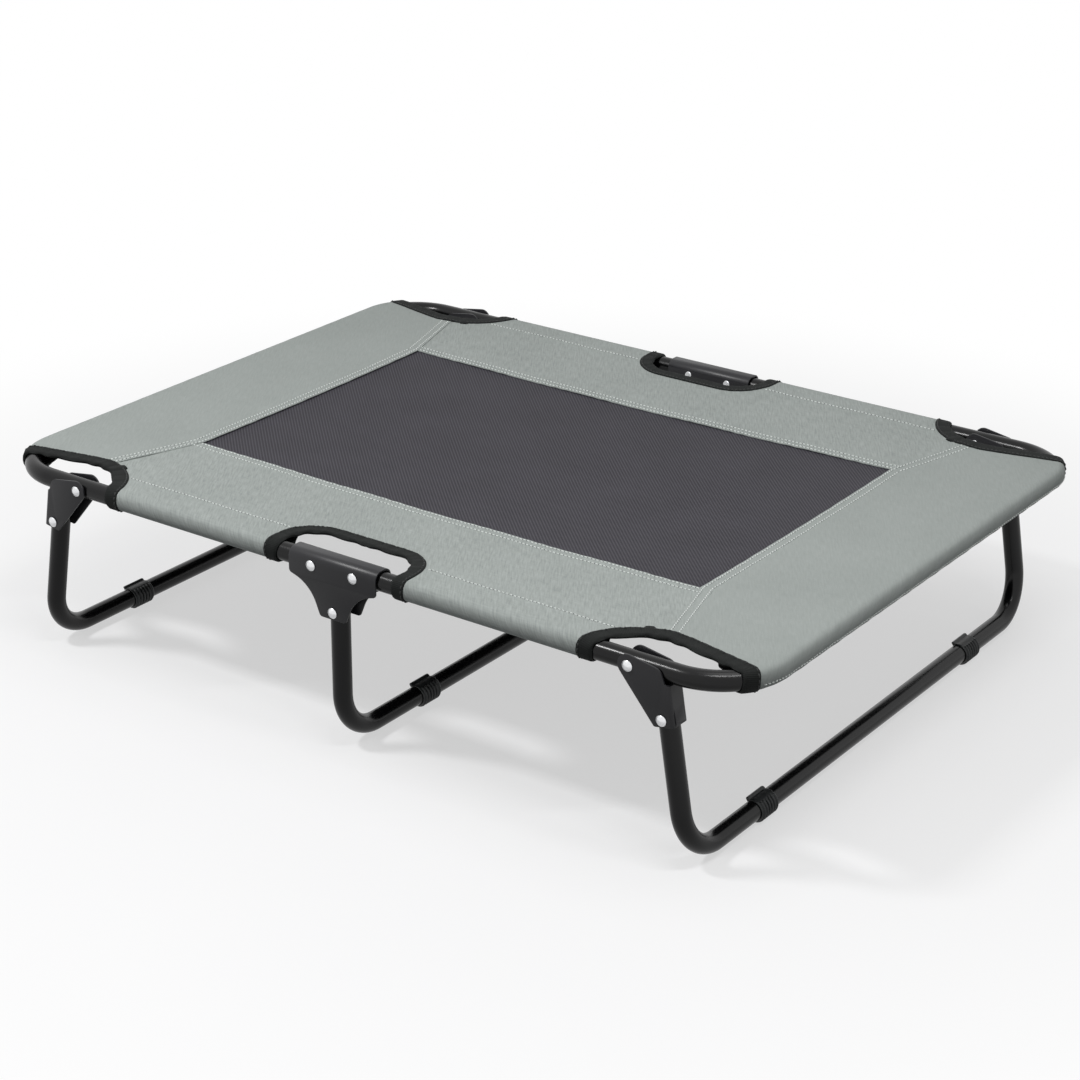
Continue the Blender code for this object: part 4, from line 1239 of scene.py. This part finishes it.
def sewSleeves():
    # one row along the long tube, and one near the hem round the end
    rowY = bed["halfWidth"] - sling["seam"]
    tapeInner = tapeRow(cornerPath, cornerTape[3], tape["width"] + stitches["fromTape"])
    rowEnd = tapeInner[np.argmax(tapeInner[:, 1] < rowY), 0]
    stitchRow(((cuts["hingeHalf"] + stitches["rowStart"], rowY), (rowEnd, rowY)), onSide, "side")
    away = hemAt - stitches["hemInset"]
    bend = arc(bendCentre, bed["bend"] + away, 0, math.radians(cuts["angle"]) - stitches["hemShort"], 24)
    for up in (1, -1):
        stitchRow(np.vstack(([(bed["halfLength"] + away, 0)], bend * (1, up))), onEnd, "end")


sewSeams()
sewSleeves()
stitchRow(tapeRow(cornerPath, cornerTape[3], tape["width"] - stitches["tapeInset"]), onTape, "corner")
stitchRow(tapeRow(hingePath, hingeTape[3], tape["hingeWidth"] - stitches["tapeInset"]), onTape, "hinge")


def sewOn(name, row, finish, signs, side, bends):
    item = makePiece(name, np.vstack(rows[row]["points"]), rows[row]["faces"], finish, signs)
    return bendWith(item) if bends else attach(item, side + "_half")


for side, sign in sides.items():
    sewOn(side + "EndStitching", "end", "pale", (sign, 1), side, False)
    # the short dark threads between the stitches are painted shade
    sewOn(side + "EndStitchPaintedShade", "endPaintedShade", "paintedShade", (sign, 1), side, False)
    for face, turn in fronts.items():
        both, corner = (sign, -turn), side + face.capitalize()
        sewOn(corner + "SideStitching", "side", "pale", both, side, True)
        # the short dark threads between the stitches are painted shade
        sewOn(corner + "SideStitchPaintedShade", "sidePaintedShade", "paintedShade", both, side, True)
        sewOn(corner + "CornerStitching", "corner", "black", both, side, False)
        sewOn(corner + "HingeStitching", "hinge", "black", both, side, True)
print("stitching done")


studio = {
    "floorSize": 9.0, "floor": rgb(240, 240, 242), "floorLight": rgb(246, 246, 247),
    "bounce": rgb(116, 116, 118), "clearFrom": 0.45, "clearTo": 1.15, "nearWhite": 0.58, "sky": 0.20,
}
lamps = {
    "front": {"place": (-0.85, -1.05, 1.90), "aim": (0.1, -0.3, 0.19), "along": (1, 0, 0),
              "size": (0.4, 0.20), "power": 22.0},
    "right": {"place": (0.83, -0.50, 1.90), "aim": (0.3, -0.2, 0.19), "along": (0.74, 0.67, 0),
              "size": (1.0, 0.14), "power": 12.5},
    "top": {"place": (0.40, 0.15, 2.10), "aim": (0, 0, 0.19), "along": (1, 0, 0),
            "size": (0.9, 0.90), "power": 5.0},
}


def makeFloor():
    # pale and matt round the bed, fading to plain white for the camera and for reflections further off
    floor = Finish("floorPaper", Roughness=0.75)
    spot = floor.place()
    soft = floor.noise(spot, 3.0, 3.0)
    shade = floor.mixColour(soft, studio["floor"], studio["floorLight"])
    ray = floor.node("LightPath")
    # less light comes back up than a white floor gives, so the sleeves stay darker at their sides
    floor.set(Base_Color=floor.mixColour(ray.output("Is Camera Ray"), studio["bounce"], shade))
    distance = floor.node("VectorMath", {"operation": "LENGTH"}, {0: spot}).output("Value")
    clear = floor.node("MapRange", {"interpolation_type": "SMOOTHSTEP"}, {
        "Value": distance, "From Min": studio["clearFrom"], "From Max": studio["clearTo"],
        "To Min": studio["nearWhite"]})
    seen = ray.output("Is Camera Ray") + ray.output("Is Glossy Ray") + ray.output("Is Transmission Ray")
    factor = seen.math("MINIMUM", 1.0) * clear
    white = floor.node("Emission", None, {"Color": (1, 1, 1, 1), "Strength": 1.0})
    mixed = floor.node("MixShader", None, {0: factor, 1: Value(floor, floor.shader.outputs[0]), 2: white})
    floor.feed(floor.nodes["Material Output"], "Surface", mixed)
    size = studio["floorSize"]
    corners = [(x * size, y * size, 0) for x, y in ((-1, -1), (1, -1), (1, 1), (-1, 1))]
    mesh = bpy.data.meshes.new("floor")
    mesh.from_pydata(corners, [], [(0, 1, 2, 3)])
    mesh.materials.append(floor.material)
    addObject("floor", mesh)


def makeSky():
    # dimmer for the light it gives than for what is seen of it
    world = bpy.data.worlds.new("studioSky")
    bpy.context.scene.world = world
    world.use_nodes = True
    sky = NodeTree(world.node_tree)
    ray = sky.node("LightPath")
    seen = ray.output("Is Camera Ray").math("MAXIMUM", ray.output("Is Glossy Ray"))
    strength = sky.node("MapRange", None, {"Value": seen, "To Min": studio["sky"], "To Max": 1.0})
    sky.feed(sky.nodes["Background"], "Color", (1, 1, 1, 1))
    sky.feed(sky.nodes["Background"], "Strength", strength)


def makeLamp(name, look):
    lamp = bpy.data.lights.new(name, "AREA")
    lamp.shape, lamp.energy = "RECTANGLE", look["power"]
    lamp.size, lamp.size_y = look["size"]
    spot = Vector(look["place"])
    back = (spot - Vector(look["aim"])).normalized()
    along = Vector(look["along"])
    across = (along - back * back.dot(along)).normalized()
    addObject(name, lamp).matrix_world = framed(across, back.cross(across), back, spot)


view = {
    "distance": 2.6709, "azimuth": 35.49, "elevation": 23.45, "roll": 0.39, "lens": 86.03, "sensor": 36.0,
    "target": (-0.0037, 0.0, 0.1039),
}


def makeCamera():
    azimuth, elevation = math.radians(view["azimuth"]), math.radians(view["elevation"])
    back = Vector((math.sin(azimuth) * math.cos(elevation), -math.cos(azimuth) * math.cos(elevation),
                   math.sin(elevation)))
    across = Vector((math.cos(azimuth), math.sin(azimuth), 0))
    matrix = framed(across, back.cross(across), back, Vector(view["target"]) + back * view["distance"])
    lens = bpy.data.cameras.new("photoView")
    lens.lens, lens.sensor_width = view["lens"], view["sensor"]
    item = addObject("photoView", lens)
    item.matrix_world = matrix @ Matrix.Rotation(math.radians(view["roll"]), 4, "Z")
    bpy.context.scene.camera = item


makeFloor()
makeSky()
for name, look in lamps.items():
    makeLamp(name, look)
makeCamera()
bpy.context.scene.view_settings.view_transform = "Standard"
print("studio set")
